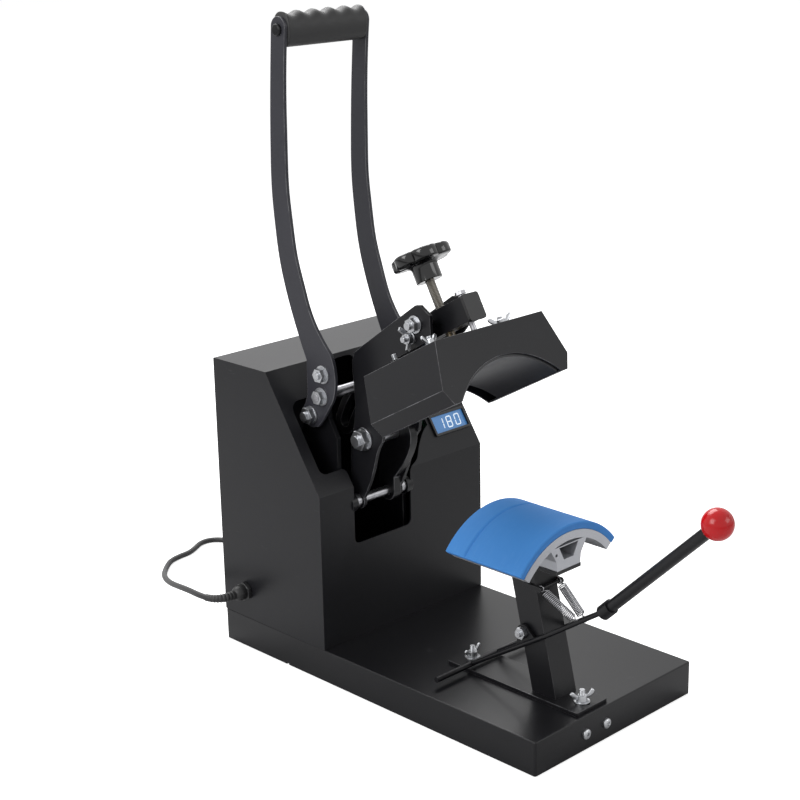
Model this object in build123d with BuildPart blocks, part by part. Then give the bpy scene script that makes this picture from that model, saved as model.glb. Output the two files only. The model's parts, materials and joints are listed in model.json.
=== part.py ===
from build123d import *
import os
from math import asin, atan2, cos, degrees, hypot, pi, radians, sin, sqrt, tan

# Cap heat press: a curved heated head swings down on a handle over a curved pad.
# Millimetres. +X is the operator's right, -Y is the front, +Z is up.
# The origin is on the table, under the middle of the machine without its mains lead.

os.makedirs("parts", exist_ok=True)

# ---------------------------------------------------------------- driving dimensions
# base tray
base_width = 240.0
base_length = 455.0
base_height = 36.6
base_wall = 2.0
base_corner = 2.5
press_inset = 89.0  # from the left side to the press's mid plane; the controller stands on its right
mid_x = press_inset - base_width / 2
rim_gap = 1.2  # the tray's rim clears the table by this much
foot_radius = 10.0
foot_inset = 24.0
floor_plate_z = 7.0
floor_plate_thickness = 1.6

# housing
housing_front = 292.0  # from the tray's front face
slope_top = 370.0
slope_z = 206.0
housing_top = 325.0
housing_wall = 2.0
flange_width = 12.0
cover_thickness = 1.6
slot_half = 41.3
slot_bottom = 142.0
pocket_margin = 14.0  # sheet left of the pocket
controller_strip = 62.0  # sheet right of it
pocket_left = pocket_margin - press_inset
pocket_right = base_width - press_inset - controller_strip
pocket_low = 21.5  # measured up the slope from its lower fold
pocket_high = 104.5
throat_high = 137.0
throat_half = 32.0

# mains switch and fuse in the back cover
switch_x = base_width / 2 - 60.0
switch_z = 76.0
switch_width = 19.2
switch_height = 28.4
fuse_x = switch_x - 30.0
fuse_radius = 6.5
fuse_out = 7.0

# controller on the slope
lcd_x = base_width / 2 - 30.7
lcd_up = 34.2
lcd_width = 51.5
lcd_height = 21.5
bezel_rim = 1.4
key_up_slope = 62.0
key_pitch = 20.0
key_radius = 5.0
key_travel = 1.0

# frame inside the housing
frame_half = 44.0  # inner faces of the frame plates, from the mid plane
frame_thickness = 5.0
arm_pivot = (300.0, 186.0)  # behind the tray's front face, above the table
arm_shaft_radius = 5.0
handle_pivot = (336.0, 279.0)
handle_pin_radius = 5.0
shaft_fit = 0.05  # radial running clearance

# handle
handle_gap_half = 53.3
bar_thickness = 4.0
push_rod = (319.0, 302.0)
tie_rod = (316.0, 326.0)
push_rod_radius = 6.0
grip_centre = (366.0, 668.5)
grip_radius = 14.0
grip_height = 35.4

# arms
arm_half = 24.0
arm_thickness = 4.0
cross_bolt = (288.0, 256.0)
cross_bolt_radius = 6.0
cam_inner = 14.0  # the cam plate lies against the right arm plate
cam_thickness = arm_half - cam_inner
cam_wall = 8.0
handle_ratio = 1.5  # handle angle for each unit of arm angle

# head, in its own frame: X right, Y back from the cover's front face, Z up from its top
head_tilt = 28.8
head_front_top = (137.5, 397.4)
cover_top_half = 75.4
cover_mid_half = 88.8
cover_low_half = 80.4
cover_mid_drop = 47.0
cover_drop = 62.6
cover_length = 112.0
cover_wall = 1.5
arch_radius = 95.0
arch_drop = 125.8  # from the cover's top down to the centre of the arch
platen_radius = 92.5
platen_thickness = 8.0
platen_half_angle = 46.2
platen_front = 3.0
platen_length = 90.0
heater_thickness = 2.5
insulation_thickness = 7.0
stud_half = 50.0
stud_front = 33.0
stud_back = 88.0
stud_radius = 3.0
carrier_half = 10.0
carrier_low = 11.0
carrier_high = 36.0
carrier_front = 13.5
carrier_back = 100.0
carrier_wall = 2.0
screw_y = 55.0
screw_radius = 5.0
screw_top = 92.0
tilt_bolt = (67.5, 29.8)
tilt_bolt_radius = 4.0
clamp_bolt = (80.0, 20.0)
clamp_bolt_radius = 3.0
guide_front = 22.0
guide_back = 90.0
guide_radius = 3.0
guide_top = 43.0
bearing_radius = 13.0
bearing_height = 6.0
knob_bottom = 66.0
knob_rim_low = 85.0
knob_rim_high = 97.0
knob_radius = 31.0
knob_hub_radius = 13.5

# stand and pad
pad_radius = 91.0
pad_thickness = 7.5
pad_apex = 219.5
pad_front = 36.2
pad_length = 97.0
pad_half_angle = 50.0
cradle_thickness = 8.5
cradle_foot_half = 17.0
cradle_flare = 10.0  # the foot widens by this on each side up to the arch
bracket_thickness = 4.0
post_size = 30.5
post_wall = 2.5
post_front = 38.0
post_lean = 13.5
plate_thickness = 4.0
plate_half = 23.0
plate_front = 5.0
plate_length = 172.0
stand_stud_front = 18.0
stand_stud_back = 163.5
stand_stud_radius = 3.0
stand_travel = 6.0

# cap lever
lever_pivot = (77.0, 102.0)
lever_half = 19.5
lever_rod_radius = 2.5
lever_joint = (-10.0, 145.0)
lever_rear = (147.0, 45.0)
lever_bar_half = 70.0
lever_bar_radius = 3.0
ball_centre = (-132.3, 264.0)
ball_radius = 15.0
handle_rod_radius = 6.0
spring_top = (59.5, 151.0, 13.4)
spring_low = (20.5, 5.2)
spring_radius = 4.5
spring_hook = 6.0

# mains lead
cord_radius = 3.25
gland_y = 418.0
gland_z = 68.0
cord_land_x = 62.5
coil_behind = 628.0
coil_turn_radius = 34.0


# the origin halves the machine's length, from the lever's ball to the fuse cap
base_front = -(base_length + fuse_out + ball_centre[0] - ball_radius) / 2


def back(d):
    """The y of a point that lies d behind the tray's front face."""
    return base_front + d


def side_point(p):
    """A (distance behind the front face, height) pair as a point of the YZ plane."""
    return (back(p[0]), p[1])


def turned(p, centre, angle):
    """p turned about centre by angle degrees, towards the front of the machine."""
    a = radians(angle)
    dy, dz = p[0] - centre[0], p[1] - centre[1]
    return (centre[0] + dy * cos(a) - dz * sin(a), centre[1] + dy * sin(a) + dz * cos(a))


def direction(p, centre):
    return degrees(atan2(p[1] - centre[1], p[0] - centre[0]))


def hexagon(across_flats):
    return across_flats / sqrt(3)


# ---------------------------------------------------------------- derived places
tilt = radians(head_tilt)
head_origin = (mid_x, back(head_front_top[0]), head_front_top[1])
head_top = Plane(origin=head_origin, x_dir=(1, 0, 0), z_dir=(0, sin(tilt), cos(tilt)))
head_section = Plane(origin=head_origin, x_dir=(1, 0, 0), z_dir=(0, -cos(tilt), sin(tilt)))
head_side = Plane(origin=head_origin, x_dir=(0, cos(tilt), -sin(tilt)), z_dir=(1, 0, 0))


def head_to_side(y, z):
    """A point of the head's frame as (distance behind the front face, height)."""
    return (
        head_front_top[0] + y * cos(tilt) + z * sin(tilt),
        head_front_top[1] - y * sin(tilt) + z * cos(tilt),
    )


tilt_pivot = head_to_side(*tilt_bolt)
clamp_pivot = head_to_side(*clamp_bolt)
pad_centre_z = pad_apex - pad_radius
closed_z = pad_centre_z + arch_drop + tilt_bolt[1]
arm_reach = hypot(tilt_pivot[0] - arm_pivot[0], tilt_pivot[1] - arm_pivot[1])
closed_y = arm_pivot[0] - sqrt(arm_reach**2 - (closed_z - arm_pivot[1]) ** 2)
arm_travel = direction((closed_y, closed_z), arm_pivot) - direction(tilt_pivot, arm_pivot)
handle_travel = arm_travel * handle_ratio
tilt_travel = arm_travel - head_tilt
print("arm travel", round(arm_travel, 3), "handle", round(handle_travel, 3), "tilt", round(tilt_travel, 3))

slope_angle = atan2(housing_top - slope_z, slope_top - housing_front)
slope_plane = Plane(
    origin=(0, back(housing_front), slope_z),
    x_dir=(1, 0, 0),
    z_dir=(0, -sin(slope_angle), cos(slope_angle)),
)
front_plane = Plane(origin=(0, back(housing_front), 0), x_dir=(1, 0, 0), z_dir=(0, -1, 0))
housing_back = base_length

flange_x = base_width / 2 - housing_wall - flange_width / 2
flange_bolt_places = [
    (side * flange_x, back(d), base_height + housing_wall)
    for side in (-1, 1)
    for d in (housing_front + 30, housing_back - 40)
]
cover_screw_places = [
    (side * flange_x, back(housing_back), z)
    for side in (-1, 1)
    for z in (base_height + 24, (base_height + housing_top) / 2, housing_top - 24)
]
plate_front_y = housing_front + housing_wall + 13.0
plate_back_y = 430.0
frame_bolt_places = [
    (mid_x + side * (frame_half + 16), back(d), base_height + frame_thickness)
    for side in (-1, 1)
    for d in (plate_front_y + 16, plate_back_y - 16)
]
block_screw_places = [
    (plate_front_y + 12, arm_pivot[1] - 9),
    (plate_front_y + 12, arm_pivot[1] + 9),
]

# ---------------------------------------------------------------- standard fasteners
def hex_nut(across_flats, height, bore):
    with BuildPart() as nut:
        with BuildSketch():
            RegularPolygon(hexagon(across_flats), 6)
        extrude(amount=height)
        Hole(bore)
    return nut.part


def pan_screw(head_radius, head_height, shank_radius, length):
    """A pan-head screw: its head stands on XY, its shank hangs below."""
    with BuildPart() as screw:
        Cylinder(head_radius, head_height, align=(Align.CENTER, Align.CENTER, Align.MIN))
        fillet(screw.edges().group_by(Axis.Z)[-1], head_height * 0.45)
        Cylinder(shank_radius, length, align=(Align.CENTER, Align.CENTER, Align.MAX))
    return screw.part


def wing_nut(hub_radius, hub_height, bore):
    """A wing nut standing on XY, its two wings leaning out along X."""
    with BuildPart() as nut:
        Cylinder(hub_radius, hub_height, align=(Align.CENTER, Align.CENTER, Align.MIN))
        with BuildSketch(Plane.XZ.offset(-1.3)):
            for side in (-1, 1):
                with BuildLine():
                    Polyline(
                        (side * hub_radius * 0.4, hub_height * 0.2),
                        (side * hub_radius * 1.5, hub_height * 0.45),
                        (side * hub_radius * 2.4, hub_height * 1.3),
                        (side * hub_radius * 1.9, hub_height * 1.75),
                        (side * hub_radius * 0.7, hub_height * 0.95),
                        (side * hub_radius * 0.4, hub_height * 0.2),
                    )
                make_face()
        extrude(amount=2.6)
        Hole(bore)
    return nut.part


stud_wing_nut = wing_nut(5.5, 6.0, stud_radius + shaft_fit)
m12_nut = hex_nut(19.0, 8.0, cross_bolt_radius + shaft_fit)

# ---------------------------------------------------------------- base
tray_length_mid = back(base_length / 2)
with BuildPart() as base_tray:
    with BuildSketch(Plane.XY.offset(rim_gap)):
        with Locations((0, tray_length_mid)):
            Rectangle(base_width, base_length)
    extrude(amount=base_height - rim_gap)
    fillet(base_tray.edges().filter_by(Axis.Z), base_corner)
    fillet(base_tray.faces().sort_by(Axis.Z)[-1].edges(), base_corner * 0.6)
    with BuildSketch(Plane.XY.offset(rim_gap)):
        with Locations((0, tray_length_mid)):
            Rectangle(base_width - 2 * base_wall, base_length - 2 * base_wall)
    extrude(amount=base_height - rim_gap - base_wall, mode=Mode.SUBTRACT)
    # drain notch in the left rim
    with Locations((-base_width / 2, back(352.5), rim_gap)):
        Box(4 * base_wall, 3.5, 3.0, mode=Mode.SUBTRACT)
    # holes for the front screws
    with Locations(Plane((mid_x, base_front, 18.2), x_dir=(1, 0, 0), z_dir=(0, -1, 0))):
        with Locations((-15.3, 0), (15.3, 0)):
            Hole(2.6, depth=3 * base_wall)
    with Locations((mid_x, back(stand_stud_front), base_height), (mid_x, back(stand_stud_back), base_height)):
        Hole(stand_stud_radius + shaft_fit, depth=2 * base_wall)
    with Locations(*[(x, y, base_height) for x, y, z in frame_bolt_places]):
        Hole(3.1, depth=2 * base_wall)
    with Locations(*[(x, y, base_height) for x, y, z in flange_bolt_places]):
        Hole(2.1, depth=2 * base_wall)
base_tray.part.label = "base_tray"
export_step(base_tray.part, "parts/base_tray.step")

foot_places = [
    (sx * (base_width / 2 - foot_inset), back(base_length / 2) + sy * (base_length / 2 - foot_inset))
    for sx in (-1, 1)
    for sy in (-1, 1)
]
# four pillars on the floor plate stand under the tray's top
pillar_places = [(x, y + (30 if y < tray_length_mid else -30)) for x, y in foot_places]
with BuildPart() as floor_plate:
    with BuildSketch(Plane.XY.offset(floor_plate_z)):
        with Locations((0, tray_length_mid)):
            Rectangle(base_width - 2 * base_wall - 0.6, base_length - 2 * base_wall - 0.6)
    extrude(amount=floor_plate_thickness)
    with BuildSketch(Plane.XY.offset(floor_plate_z)):
        with Locations(*pillar_places):
            Circle(5)
    extrude(amount=base_height - base_wall - floor_plate_z)
    with Locations(*[(x, y, floor_plate_z + floor_plate_thickness) for x, y in foot_places]):
        Hole(2.6, depth=2 * floor_plate_thickness)
floor_plate.part.label = "floor_plate"
export_step(floor_plate.part, "parts/floor_plate.step")

with BuildPart() as rubber_feet:
    for x, y in foot_places:
        with Locations((x, y, 0)):
            Cone(
                foot_radius * 0.85,
                foot_radius,
                floor_plate_z,
                align=(Align.CENTER, Align.CENTER, Align.MIN),
            )
            Cylinder(2.6, floor_plate_z, align=(Align.CENTER, Align.CENTER, Align.MIN), mode=Mode.SUBTRACT)
            Cylinder(5.2, 3.0, align=(Align.CENTER, Align.CENTER, Align.MIN), mode=Mode.SUBTRACT)
rubber_feet.part.label = "rubber_feet"
export_step(rubber_feet.part, "parts/rubber_feet.step")

# bracket behind the front wall, held by two screws; it takes the front stud
with BuildPart() as front_bracket:
    with BuildSketch(Plane.YZ.offset(mid_x - 25)):
        with BuildLine():
            y0 = base_front + base_wall
            z1 = base_height - base_wall
            Polyline(
                (y0, 11),
                (y0, z1),
                (y0 + 26, z1),
                (y0 + 26, z1 - 3),
                (y0 + 3, z1 - 3),
                (y0 + 3, 11),
                (y0, 11),
            )
        make_face()
    extrude(amount=50)
    with Locations(Plane((mid_x, base_front, 18.2), x_dir=(1, 0, 0), z_dir=(0, -1, 0))):
        with Locations((-15.3, 0), (15.3, 0)):
            Hole(2.6, depth=12)
    with Locations((mid_x, back(stand_stud_front), z1)):
        Hole(stand_stud_radius + shaft_fit, depth=8)
front_bracket.part.label = "front_bracket"
export_step(front_bracket.part, "parts/front_bracket.step")

foot_screw = pan_screw(4.5, 2.6, 2.4, floor_plate_z + floor_plate_thickness + 1.0)
front_screw = pan_screw(5.2, 3.4, 2.5, 9.0)
with BuildPart() as tray_screws:
    for x, y in foot_places:
        with Locations(Plane((x, y, 3.0), z_dir=(0, 0, -1))):
            add(foot_screw)
    for dx in (-15.3, 15.3):
        with Locations(Plane((mid_x + dx, base_front, 18.2), x_dir=(1, 0, 0), z_dir=(0, -1, 0))):
            add(front_screw)
tray_screws.part.label = "tray_screws"
export_step(tray_screws.part, "parts/tray_screws.step")

stand_top = base_height + plate_thickness
with BuildPart() as stand_studs:
    for d in (stand_stud_front, stand_stud_back):
        with Locations((mid_x, back(d), base_height - base_wall - 3.0)):
            Cylinder(stand_stud_radius, 22.0, align=(Align.CENTER, Align.CENTER, Align.MIN))
        with Locations((mid_x, back(d), stand_top)):
            Cylinder(8.0, 1.2, align=(Align.CENTER, Align.CENTER, Align.MIN))
        with Locations((mid_x, back(d), stand_top + 1.2)):
            add(wing_nut(5.5, 6.0, 1.0))
    with Locations((mid_x, back(stand_stud_back), base_height - base_wall - 3.0)):
        Cylinder(7.0, 3.0, align=(Align.CENTER, Align.CENTER, Align.MIN))
stand_studs.part.label = "stand_studs"
export_step(stand_studs.part, "parts/stand_studs.step")

# ---------------------------------------------------------------- housing
housing_profile = [
    (housing_front, base_height),
    (housing_back, base_height),
    (housing_back, housing_top),
    (slope_top, housing_top),
    (housing_front, slope_z),
    (housing_front, base_height),
]


def opening_on_slope():
    """The opening's outline on the slope: x across, y up from the lower fold."""
    with BuildSketch() as outline:
        with BuildLine():
            left = FilletPolyline(
                (mid_x, throat_high),
                (mid_x - throat_half, throat_high),
                (mid_x - throat_half, pocket_high),
                (mid_x + pocket_left, pocket_high),
                (mid_x + pocket_left, pocket_low),
                (mid_x - slot_half, pocket_low),
                (mid_x - slot_half, -2 * housing_wall),
                radius=[9, 4, 12, 8, 6],
            )
            step = Line(left @ 1, (mid_x + slot_half, -2 * housing_wall))
            curve = Spline(
                step @ 1,
                (mid_x + slot_half + 1.5, -0.5),
                (mid_x + slot_half + 11, 4.5),
                (mid_x + slot_half + 21, 15.0),
                (mid_x + slot_half + 31, 26.0),
                (mid_x + pocket_right, 38.0),
            )
            FilletPolyline(
                curve @ 1,
                (mid_x + pocket_right, pocket_high),
                (mid_x + throat_half, pocket_high),
                (mid_x + throat_half, throat_high),
                (mid_x, throat_high),
                radius=[8, 4, 9],
            )
        make_face()
    return outline.sketch


with BuildPart() as housing_shell:
    with BuildSketch(Plane.YZ.offset(-base_width / 2)):
        with BuildLine():
            Polyline(*[side_point(p) for p in housing_profile])
        make_face()
    extrude(amount=base_width)
    fillet(housing_shell.edges().filter_by(Axis.X).group_by(Axis.Z)[1:], 1.2)
    with BuildSketch(Plane.YZ.offset(-base_width / 2 + housing_wall)):
        with BuildLine():
            w = housing_wall
            Polyline(
                side_point((housing_front + w, base_height)),
                side_point((housing_back, base_height)),
                side_point((housing_back, housing_top - w)),
                side_point((slope_top + w * tan(slope_angle / 2), housing_top - w)),
                side_point((housing_front + w, slope_z - w * tan(pi / 4 - slope_angle / 2))),
                side_point((housing_front + w, base_height)),
            )
        make_face()
    extrude(amount=base_width - 2 * housing_wall, mode=Mode.SUBTRACT)
    # side flanges on the tray and a return flange behind the back cover
    for side in (-1, 1):
        with Locations((side * flange_x, back((housing_front + housing_back) / 2), base_height)):
            Box(
                flange_width,
                housing_back - housing_front - 2 * housing_wall - 6,
                housing_wall,
                align=(Align.CENTER, Align.CENTER, Align.MIN),
            )
        with Locations((side * flange_x, back(housing_back - cover_thickness), base_height)):
            Box(
                flange_width,
                housing_wall,
                housing_top - base_height - housing_wall,
                align=(Align.CENTER, Align.MAX, Align.MIN),
            )
    with BuildSketch(slope_plane):
        add(opening_on_slope())
    extrude(amount=8, both=True, mode=Mode.SUBTRACT)
    with BuildSketch(front_plane):
        with BuildLine():
            Polyline(
                (mid_x - slot_half, slope_z),
                (mid_x - slot_half, slot_bottom),
                (mid_x + slot_half, slot_bottom),
                (mid_x + slot_half, slope_z),
                (mid_x - slot_half, slope_z),
            )
        make_face()
        fillet(vertices().group_by(Axis.Y)[0], 7)
    extrude(amount=4, both=True, mode=Mode.SUBTRACT)
    # windows for the display and its keys
    with BuildSketch(slope_plane):
        with Locations((lcd_x, lcd_up)):
            Rectangle(lcd_width + 1, lcd_height + 1)
        with Locations((lcd_x, key_up_slope)):
            with GridLocations(key_pitch, 1, 3, 1):
                Circle(key_radius + 0.4)
    extrude(amount=5, both=True, mode=Mode.SUBTRACT)
    # cable hole in the left side
    with Locations(Plane((-base_width / 2, back(gland_y), gland_z), z_dir=(-1, 0, 0))):
        Hole(6.05, depth=3 * housing_wall)
    # cover screw holes
    with Locations(*[Plane(p, z_dir=(0, 1, 0)) for p in cover_screw_places]):
        Hole(2.1, depth=8)
    with Locations(*flange_bolt_places):
        Hole(2.1, depth=2 * housing_wall)
housing_shell.part.label = "housing_shell"
export_step(housing_shell.part, "parts/housing_shell.step")

with BuildPart() as back_cover:
    with BuildSketch(Plane.XZ.offset(-back(housing_back))):
        with Locations((0, (base_height + housing_top - housing_wall) / 2)):
            Rectangle(base_width - 2 * housing_wall - 0.6, housing_top - base_height - housing_wall - 0.6)
    extrude(amount=cover_thickness)
    with Locations(*[Plane(p, z_dir=(0, 1, 0)) for p in cover_screw_places]):
        Hole(2.1, depth=4)
    # cooling slots and the openings for the switch and the fuse holder
    with BuildSketch(Plane.XZ.offset(-back(housing_back))):
        with Locations((mid_x - 22, housing_top - 80)):
            with GridLocations(9, 1, 9, 1):
                SlotOverall(40, 3.2, rotation=90)
        with Locations((switch_x, switch_z)):
            Rectangle(switch_width, switch_height)
        with Locations((fuse_x, switch_z)):
            Circle(fuse_radius)
    extrude(amount=cover_thickness, mode=Mode.SUBTRACT)
back_cover.part.label = "back_cover"
export_step(back_cover.part, "parts/back_cover.step")

# ---------------------------------------------------------------- frame inside the housing
frame_names = {-1: "frame_plate_left", 1: "frame_plate_right"}
for side in (-1, 1):
    inner_x = mid_x + side * frame_half
    with BuildPart() as frame_plate:
        with BuildSketch(Plane.YZ.offset(inner_x)):
            with BuildLine():
                Polyline(
                    side_point((plate_front_y, base_height)),
                    side_point((plate_back_y, base_height)),
                    side_point((plate_back_y, base_height + 60)),
                    side_point((handle_pivot[0] + 17, handle_pivot[1] - 4)),
                    side_point((handle_pivot[0] - 15, handle_pivot[1] + 2)),
                    side_point((plate_front_y, handle_pivot[1] - 22)),
                    side_point((plate_front_y, base_height)),
                )
            make_face()
            with Locations(side_point(handle_pivot)):
                Circle(17.5)
                Circle(handle_pin_radius + shaft_fit, mode=Mode.SUBTRACT)
            with Locations(*[side_point(p) for p in block_screw_places]):
                Circle(2.6, mode=Mode.SUBTRACT)
        extrude(amount=side * frame_thickness)
        flange_mid = (plate_front_y + plate_back_y) / 2
        with Locations((inner_x + side * frame_thickness, back(flange_mid), base_height)):
            Box(
                20,
                plate_back_y - plate_front_y,
                frame_thickness,
                align=(Align.MIN if side > 0 else Align.MAX, Align.CENTER, Align.MIN),
            )
        with Locations(*[p for p in frame_bolt_places if (p[0] - mid_x) * side > 0]):
            Hole(3.1, depth=2 * frame_thickness)
    frame_plate.part.label = frame_names[side]
    export_step(frame_plate.part, "parts/" + frame_names[side] + ".step")

# bearing blocks carry the arm shaft in front of the frame plates
block_outer = frame_half
block_inner = frame_half - 8.0
block_front_outer = slot_half - 0.8
with BuildPart() as arm_blocks:
    for side in (-1, 1):
        with BuildSketch(Plane.YZ.offset(mid_x + side * block_inner)):
            with BuildLine():
                Polyline(
                    side_point((arm_pivot[0], arm_pivot[1] - 10)),
                    side_point((plate_front_y + 4, arm_pivot[1] - 16)),
                    side_point((plate_front_y + 20, arm_pivot[1] - 16)),
                    side_point((plate_front_y + 20, arm_pivot[1] + 16)),
                    side_point((plate_front_y + 4, arm_pivot[1] + 16)),
                    side_point((arm_pivot[0], arm_pivot[1] + 10)),
                    side_point((arm_pivot[0], arm_pivot[1] - 10)),
                )
            make_face()
            with Locations(side_point(arm_pivot)):
                Circle(10)
        extrude(amount=side * (block_outer - block_inner))
        # the nose that comes out through the slot is thinner
        with Locations((mid_x + side * block_outer, back(arm_pivot[0]), arm_pivot[1])):
            Box(
                2 * (block_outer - block_front_outer),
                2 * (plate_front_y - arm_pivot[0] + 1.0),
                80,
                mode=Mode.SUBTRACT,
            )
        with Locations(Plane((mid_x + side * block_inner, *side_point(arm_pivot)), z_dir=(-side, 0, 0))):
            Hole(arm_shaft_radius + shaft_fit, depth=3.5)
        outer_face = mid_x + side * block_outer
        block_screws = [Plane((outer_face, *side_point(p)), z_dir=(side, 0, 0)) for p in block_screw_places]
        with Locations(*block_screws):
            Hole(2.6, depth=7)
arm_blocks.part.label = "arm_blocks"
export_step(arm_blocks.part, "parts/arm_blocks.step")

cover_screw = pan_screw(3.6, 2.4, 2.0, 6.5)
block_screw = pan_screw(4.5, 3.0, 2.5, frame_thickness + 6.0)
frame_bolt = pan_screw(5.5, 4.0, 3.0, frame_thickness + base_wall + 6)
frame_nut = hex_nut(10, 4, 3.0)
with BuildPart() as housing_fasteners:
    for p in cover_screw_places:
        with Locations(Plane(p, z_dir=(0, 1, 0))):
            add(cover_screw)
    for p in flange_bolt_places:
        with Locations(p):
            add(cover_screw)
    for side in (-1, 1):
        face_x = mid_x + side * (frame_half + frame_thickness)
        for p in block_screw_places:
            with Locations(Plane((face_x, *side_point(p)), z_dir=(side, 0, 0))):
                add(block_screw)
    for x, y, z in frame_bolt_places:
        with Locations((x, y, z)):
            add(frame_bolt)
        with Locations((x, y, base_height - base_wall - 4)):
            add(frame_nut)
housing_fasteners.part.label = "housing_fasteners"
export_step(housing_fasteners.part, "parts/housing_fasteners.step")

shaft_half = block_inner + 3.3
arm_outer = arm_half + arm_thickness
with BuildPart() as arm_shaft:
    with BuildSketch(Plane.YZ.offset(mid_x - shaft_half)):
        with Locations(side_point(arm_pivot)):
            Circle(arm_shaft_radius)
    extrude(amount=2 * shaft_half)
    # loose collars between arm plates and bearing blocks
    for side in (-1, 1):
        with BuildSketch(Plane.YZ.offset(mid_x + side * (arm_outer + 0.3))):
            with Locations(side_point(arm_pivot)):
                Circle(7.5)
                Circle(arm_shaft_radius + shaft_fit, mode=Mode.SUBTRACT)
        extrude(amount=side * (block_inner - arm_outer - 0.6))
arm_shaft.part.label = "arm_shaft"
export_step(arm_shaft.part, "parts/arm_shaft.step")

# shoulder bolts of the handle, each with a spacer, a washer and a nut outside its bar
bar_outer = handle_gap_half + bar_thickness
with BuildPart() as handle_pivot_bolts:
    for side in (-1, 1):
        inside = mid_x + side * frame_half
        plane = Plane((inside, *side_point(handle_pivot)), x_dir=(0, 1, 0), z_dir=(side, 0, 0))
        with BuildSketch(plane):
            Circle(9)
        extrude(amount=-5)
        with BuildSketch(plane):
            Circle(handle_pin_radius)
        extrude(amount=bar_outer - frame_half + 12)
        with BuildSketch(plane.offset(bar_outer - frame_half + 2.0)):
            RegularPolygon(hexagon(16), 6)
        extrude(amount=6)
        with BuildSketch(plane.offset(bar_outer - frame_half + 0.1)):
            Circle(9.5)
        extrude(amount=1.9)
        with BuildSketch(plane.offset(frame_thickness)):
            Circle(8.5)
        extrude(amount=handle_gap_half - frame_half - frame_thickness - 0.1)
handle_pivot_bolts.part.label = "handle_pivot_bolts"
export_step(handle_pivot_bolts.part, "parts/handle_pivot_bolts.step")

# ---------------------------------------------------------------- handle
handle_reach = hypot(grip_centre[0] - handle_pivot[0], grip_centre[1] - handle_pivot[1])
bar_drawn_reach = 390.65  # the bar's outline is drawn for this reach and follows it


def bar_point(y, z):
    """A point of the bar's outline, y behind its pivot bolt and z above it."""
    share = handle_reach / bar_drawn_reach
    return side_point((handle_pivot[0] + y * share, handle_pivot[1] + z * share))


def handle_outline():
    """One side bar of the handle, in the YZ plane."""
    with BuildSketch() as outline:
        with BuildLine():
            rear = Spline(
                bar_point(40.4, 392),
                bar_point(46, 319),
                bar_point(48.5, 269),
                bar_point(49, 228),
                bar_point(46, 192),
                bar_point(41, 157),
                *[bar_point(*p) for p in [(32, 124), (21, 94), (5, 58)]],
            )
            heel = Line(rear @ 1, bar_point(5, 21))
            foot = Line(heel @ 1, bar_point(13, 0))
            sole = Line(foot @ 1, bar_point(-9, -12))
            toe = Line(sole @ 1, bar_point(-18, -2))
            shin = Line(toe @ 1, bar_point(-33, 20))
            knee = Spline(shin @ 1, bar_point(-38, 39), bar_point(-36.5, 57), bar_point(-31.5, 70))
            front = Spline(
                knee @ 1,
                *[bar_point(*p) for p in [(-16, 87), (-2, 109.5), (7, 134), (16.5, 164), (22, 199)]],
                *[bar_point(*p) for p in [(25.6, 229), (26, 269), (25, 319), (19.6, 392)]],
            )
            ThreePointArc(front @ 1, bar_point(30, 402.4), rear @ 0)
        make_face()
        with Locations(side_point(handle_pivot)):
            Circle(13.5)
    return outline.sketch


bar_names = {-1: "handle_bar_left", 1: "handle_bar_right"}
for side in (-1, 1):
    with BuildPart() as handle_bar:
        with BuildSketch(Plane.YZ.offset(mid_x + side * handle_gap_half)):
            add(handle_outline())
            with Locations(side_point(handle_pivot)):
                Circle(handle_pin_radius + shaft_fit, mode=Mode.SUBTRACT)
            with Locations(side_point(push_rod), side_point(tie_rod)):
                Circle(4.1, mode=Mode.SUBTRACT)
            with Locations(side_point(grip_centre)):
                Circle(3.1, mode=Mode.SUBTRACT)
        extrude(amount=side * bar_thickness)
    handle_bar.part.label = bar_names[side]
    export_step(handle_bar.part, "parts/" + bar_names[side] + ".step")

# the cross shaft that works in the cam slot, shouldered against the bars
with BuildPart() as cross_shaft:
    plane = Plane((mid_x, *side_point(push_rod)), x_dir=(0, 1, 0), z_dir=(1, 0, 0))
    with BuildSketch(plane.offset(-handle_gap_half)):
        Circle(push_rod_radius)
    extrude(amount=2 * handle_gap_half)
    with BuildSketch(plane.offset(-bar_outer - 9)):
        Circle(4.0)
    extrude(amount=2 * bar_outer + 18)
cross_shaft.part.label = "cross_shaft"
export_step(cross_shaft.part, "parts/cross_shaft.step")

bar_washer = 1.6
with BuildPart() as stop_bolts:
    for side in (-1, 1):
        plane = Plane(
            (mid_x + side * handle_gap_half, *side_point(tie_rod)),
            x_dir=(0, 1, 0),
            z_dir=(side, 0, 0),
        )
        with BuildSketch(plane):
            Circle(7.5)
        extrude(amount=-4)
        with BuildSketch(plane):
            Circle(4.0)
        extrude(amount=bar_thickness + bar_washer + 9)
stop_bolts.part.label = "stop_bolts"
export_step(stop_bolts.part, "parts/stop_bolts.step")

bar_nut = hex_nut(13.0, 6.5, 4.0 + shaft_fit)
with BuildPart() as bar_nuts:
    for side in (-1, 1):
        for p in (push_rod, tie_rod):
            plane = Plane((mid_x + side * bar_outer, *side_point(p)), x_dir=(0, 1, 0), z_dir=(side, 0, 0))
            with BuildSketch(plane):
                Circle(9.5)
                Circle(4.0 + shaft_fit, mode=Mode.SUBTRACT)
            extrude(amount=bar_washer)
            with Locations(plane.offset(bar_washer)):
                add(bar_nut)
bar_nuts.part.label = "bar_nuts"
export_step(bar_nuts.part, "parts/bar_nuts.step")

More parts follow.
